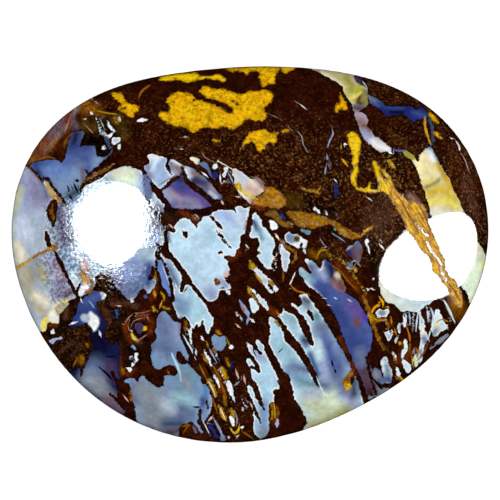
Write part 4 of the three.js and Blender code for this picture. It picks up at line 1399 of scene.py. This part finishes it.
# Painted shade of small hollows: near-black specks in the ironstone.
hollow_shade = ramp(grain(5.0, 4.0, 0.7, 0.2), 0.44, 0.36)
iron_colour = laid_over(iron_colour, "hollow_shade", hollow_shade, speckling, 0.8)
margin = ramp(iron_edge, 2.2, 0.3, 0.0, 0.7)
iron_colour = laid_over(iron_colour, "dark margin", margin)

# Ochre: granular, bright where it is thick and amber where it thins, with pits that dip in the
# relief and are darkened as painted shade. The wide vein is crumbly, and streaked along its length, its
# furrows darkened as painted shade.
ochre_base, crumbly = tint_mark("ochre_tint")
lump = ramp(grain(1.8, 6.0, 0.85, 0.4), 0.4, 0.58)
ochre_colour = varied(ochre_base, lump, 0.58, 1.15)
bright = ramp(grain(3.8, 5.0, 0.8), 0.46, 0.58)
ochre_colour = laid_over(ochre_colour, "bright ochre", bright, lightness_of(ochre_base), 1.8)
# Painted shade in the ochre's pits, which also dip in the relief below.
pit_and_shade = ramp(grain(4.4, 5.0, 0.8, 0.3), 0.44, 0.36)
ochre_colour = laid_over(ochre_colour, "pit_and_shade", pit_and_shade, 0.85)
# Painted shade of furrows: darker streaks along the crumbly vein.
furrow_shade = ramp(streak, 0.53, 0.41)
ochre_colour = laid_over(ochre_colour, "furrow_shade", furrow_shade, crumbly, 0.75)
seam = ramp(streak, 0.62, 0.7)
ochre_colour = laid_over(ochre_colour, "pale seam", seam, crumbly, 0.45)
thin = ramp(ochre_edge, 2.2, 0.0, 0.0, 0.6)
ochre_colour = laid_over(ochre_colour, "thin ochre", thin)

face_colour = blend(iron_here, opal_colour, iron_colour)
face_colour = blend(ochre_here, face_colour, ochre_colour)

# Hairlines: cracks filled with potch, ironstone or ochre, finer than the rest.
hair_base, hair_half = tint_mark("hair_tint")
hair_reach = calculate(surface, "ABSOLUTE", depth_mark("hair_side"))
hair_depth = calculate(surface, "SUBTRACT", hair_half, hair_reach)
hair_depth = calculate(surface, "ADD", hair_depth, product(ragged, 0.3))
hair_here = ramp(hair_depth, -0.3, 0.3)
hair_colour = varied(hair_base, wisp, 0.7, 1.15)
face_colour = blend(hair_here, face_colour, hair_colour)

# The back: brown ironstone, cut flat, with stains and hair threads of potch.
height_mm = add_node(surface, "ShaderNodeSeparateXYZ", {0: in_mm}).outputs[2]
back_here = ramp(height_mm, 0.12, 0.03)
stain = ramp(grain(0.28, 5.0, 0.65, 0.6), 0.52, 0.62)
back_colour = laid_over(colour_of(polish_tones["back"]), "back patch", shade)
back_colour = laid_over(back_colour, "back speck", speck, 0.5)
back_colour = laid_over(back_colour, "back stain", stain, 0.8)
off_middle = calculate(surface, "SUBTRACT", grain(0.16, 4.0, 0.55, 0.4), 0.5)
wander = calculate(surface, "ABSOLUTE", off_middle)
thread = ramp(wander, 0.009, 0.003)
back_colour = laid_over(back_colour, "potch thread", thread, 0.8)
stone_colour = blend(back_here, face_colour, back_colour)

# The polish: glassy on all but the crumbly ochre and the satin back, and faintly rippled.
back_roughness = 0.45
opal_roughness = calculate(surface, "MULTIPLY_ADD", grain_here, 0.05, 0.035)
ochre_roughness = calculate(surface, "MULTIPLY_ADD", crumbly, 0.95, 0.05)
face_roughness = mixed(surface, ochre_here, opal_roughness, ochre_roughness)
roughness = mixed(surface, back_here, face_roughness, back_roughness)
unpolished = calculate(surface, "MAXIMUM", product(ochre_here, crumbly), back_here)
glassiness = calculate(surface, "SUBTRACT", 1.0, unpolished, clamp=True)

# The painted glint speckle's amount also strengthens the real ripple of the polish.
ripple = calculate(surface, "MULTIPLY_ADD", glint_speckle_and_ripple, 1.0, 0.04)
relief = product(grain(5.0, 2.0, 0.55), ripple)
relief = calculate(surface, "MULTIPLY_ADD", product(pit_and_shade, ochre_here), -0.3, relief)
relief_height = 0.02 * MM
polish = add_node(
    surface, "ShaderNodeBump", {"Strength": 1.0, "Distance": relief_height, "Height": relief}
)

shader = add_node(
    surface,
    "ShaderNodeBsdfPrincipled",
    {
        "Base Color": stone_colour,
        "Roughness": roughness,
        "IOR": 1.45,
        "Coat Weight": glassiness,
        "Coat Roughness": 0.02,
        "Normal": polish.outputs[0],
        "Coat Normal": polish.outputs[0],
    },
)
add_node(surface, "ShaderNodeOutputMaterial", {"Surface": shader.outputs[0]})
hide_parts("boulder_opal_cabochon")
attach(stone, "root")

# The table
# A plain white sheet, bright enough to lose its edges against the white room.
table_mesh = bpy.data.meshes.new("table")
table_half = 0.6
table_corners = [(x * table_half, y * table_half, 0) for x, y in ((-1, -1), (1, -1), (1, 1), (-1, 1))]
table_mesh.from_pydata(table_corners, [], [(0, 1, 2, 3)])
table = bpy.data.objects.new("table", table_mesh)
bpy.context.scene.collection.objects.link(table)
table_material = bpy.data.materials.new("white_sheet")
table_material.use_nodes = True
table_shader = table_material.node_tree.nodes["Principled BSDF"]
table_shader.inputs["Base Color"].default_value = (0.5, 0.5, 0.5, 1)
table_shader.inputs["Roughness"].default_value = 0.9
table_shader.inputs["Specular IOR Level"].default_value = 0.0
table_shader.inputs["Emission Color"].default_value = (1, 1, 1, 1)
table_shader.inputs["Emission Strength"].default_value = 0.75
table_mesh.materials.append(table_material)
table.visible_glossy = False

# The light
# A white room lights every colour evenly, and two oval lamps stand where the dome mirrors them
# at the two bright patches of the picture. The room itself doesn't show in the polish.
world = bpy.data.worlds.new("white_room")
bpy.context.scene.world = world
world.use_nodes = True
background = world.node_tree.nodes["Background"]
background.inputs["Color"].default_value = (1, 1, 1, 1)
background.inputs["Strength"].default_value = 1.0
world.cycles_visibility.glossy = False

normals = np.empty(len(stone_mesh.vertices) * 3)
stone_mesh.vertex_normals.foreach_get("vector", normals)
normals = normals.reshape(-1, 3)
lamp_distance = 0.25
lamp_glare = 13.5
upper = np.nonzero(spots[:, 2] > girdle_height)[0]
# Each lamp: where it is mirrored in the picture, its width and height in metres, and its roll.
lamps = {
    "left_lamp": ((106, 219), 0.131, 0.117, -28),
    "right_lamp": ((450.5, 257), 0.152, 0.342, 5),
}
for name, (spot_px, across, high, roll) in lamps.items():
    nearest = upper[np.argmin(np.linalg.norm(places[upper] - spot_px, axis=1))]
    point = Vector(spots[nearest])
    normal = Vector(normals[nearest])
    sight_line = (point - camera.location).normalized()
    mirror_way = sight_line.reflect(normal)
    lamp_data = bpy.data.lights.new(name, "AREA")
    lamp_data.shape = "ELLIPSE"
    lamp_data.size = across
    lamp_data.size_y = high
    lamp_face = math.pi * across * high / 4
    lamp_data.energy = lamp_glare * math.pi * lamp_face
    lamp = bpy.data.objects.new(name, lamp_data)
    lamp.location = point + mirror_way * lamp_distance
    facing = (-mirror_way).to_track_quat("-Z", "Y")
    lamp.rotation_euler = (facing @ Quaternion((0, 0, 1), math.radians(roll))).to_euler()
    lamp.visible_diffuse = False
    lamp.visible_camera = False
    bpy.context.scene.collection.objects.link(lamp)

bpy.context.scene.view_settings.view_transform = "Standard"
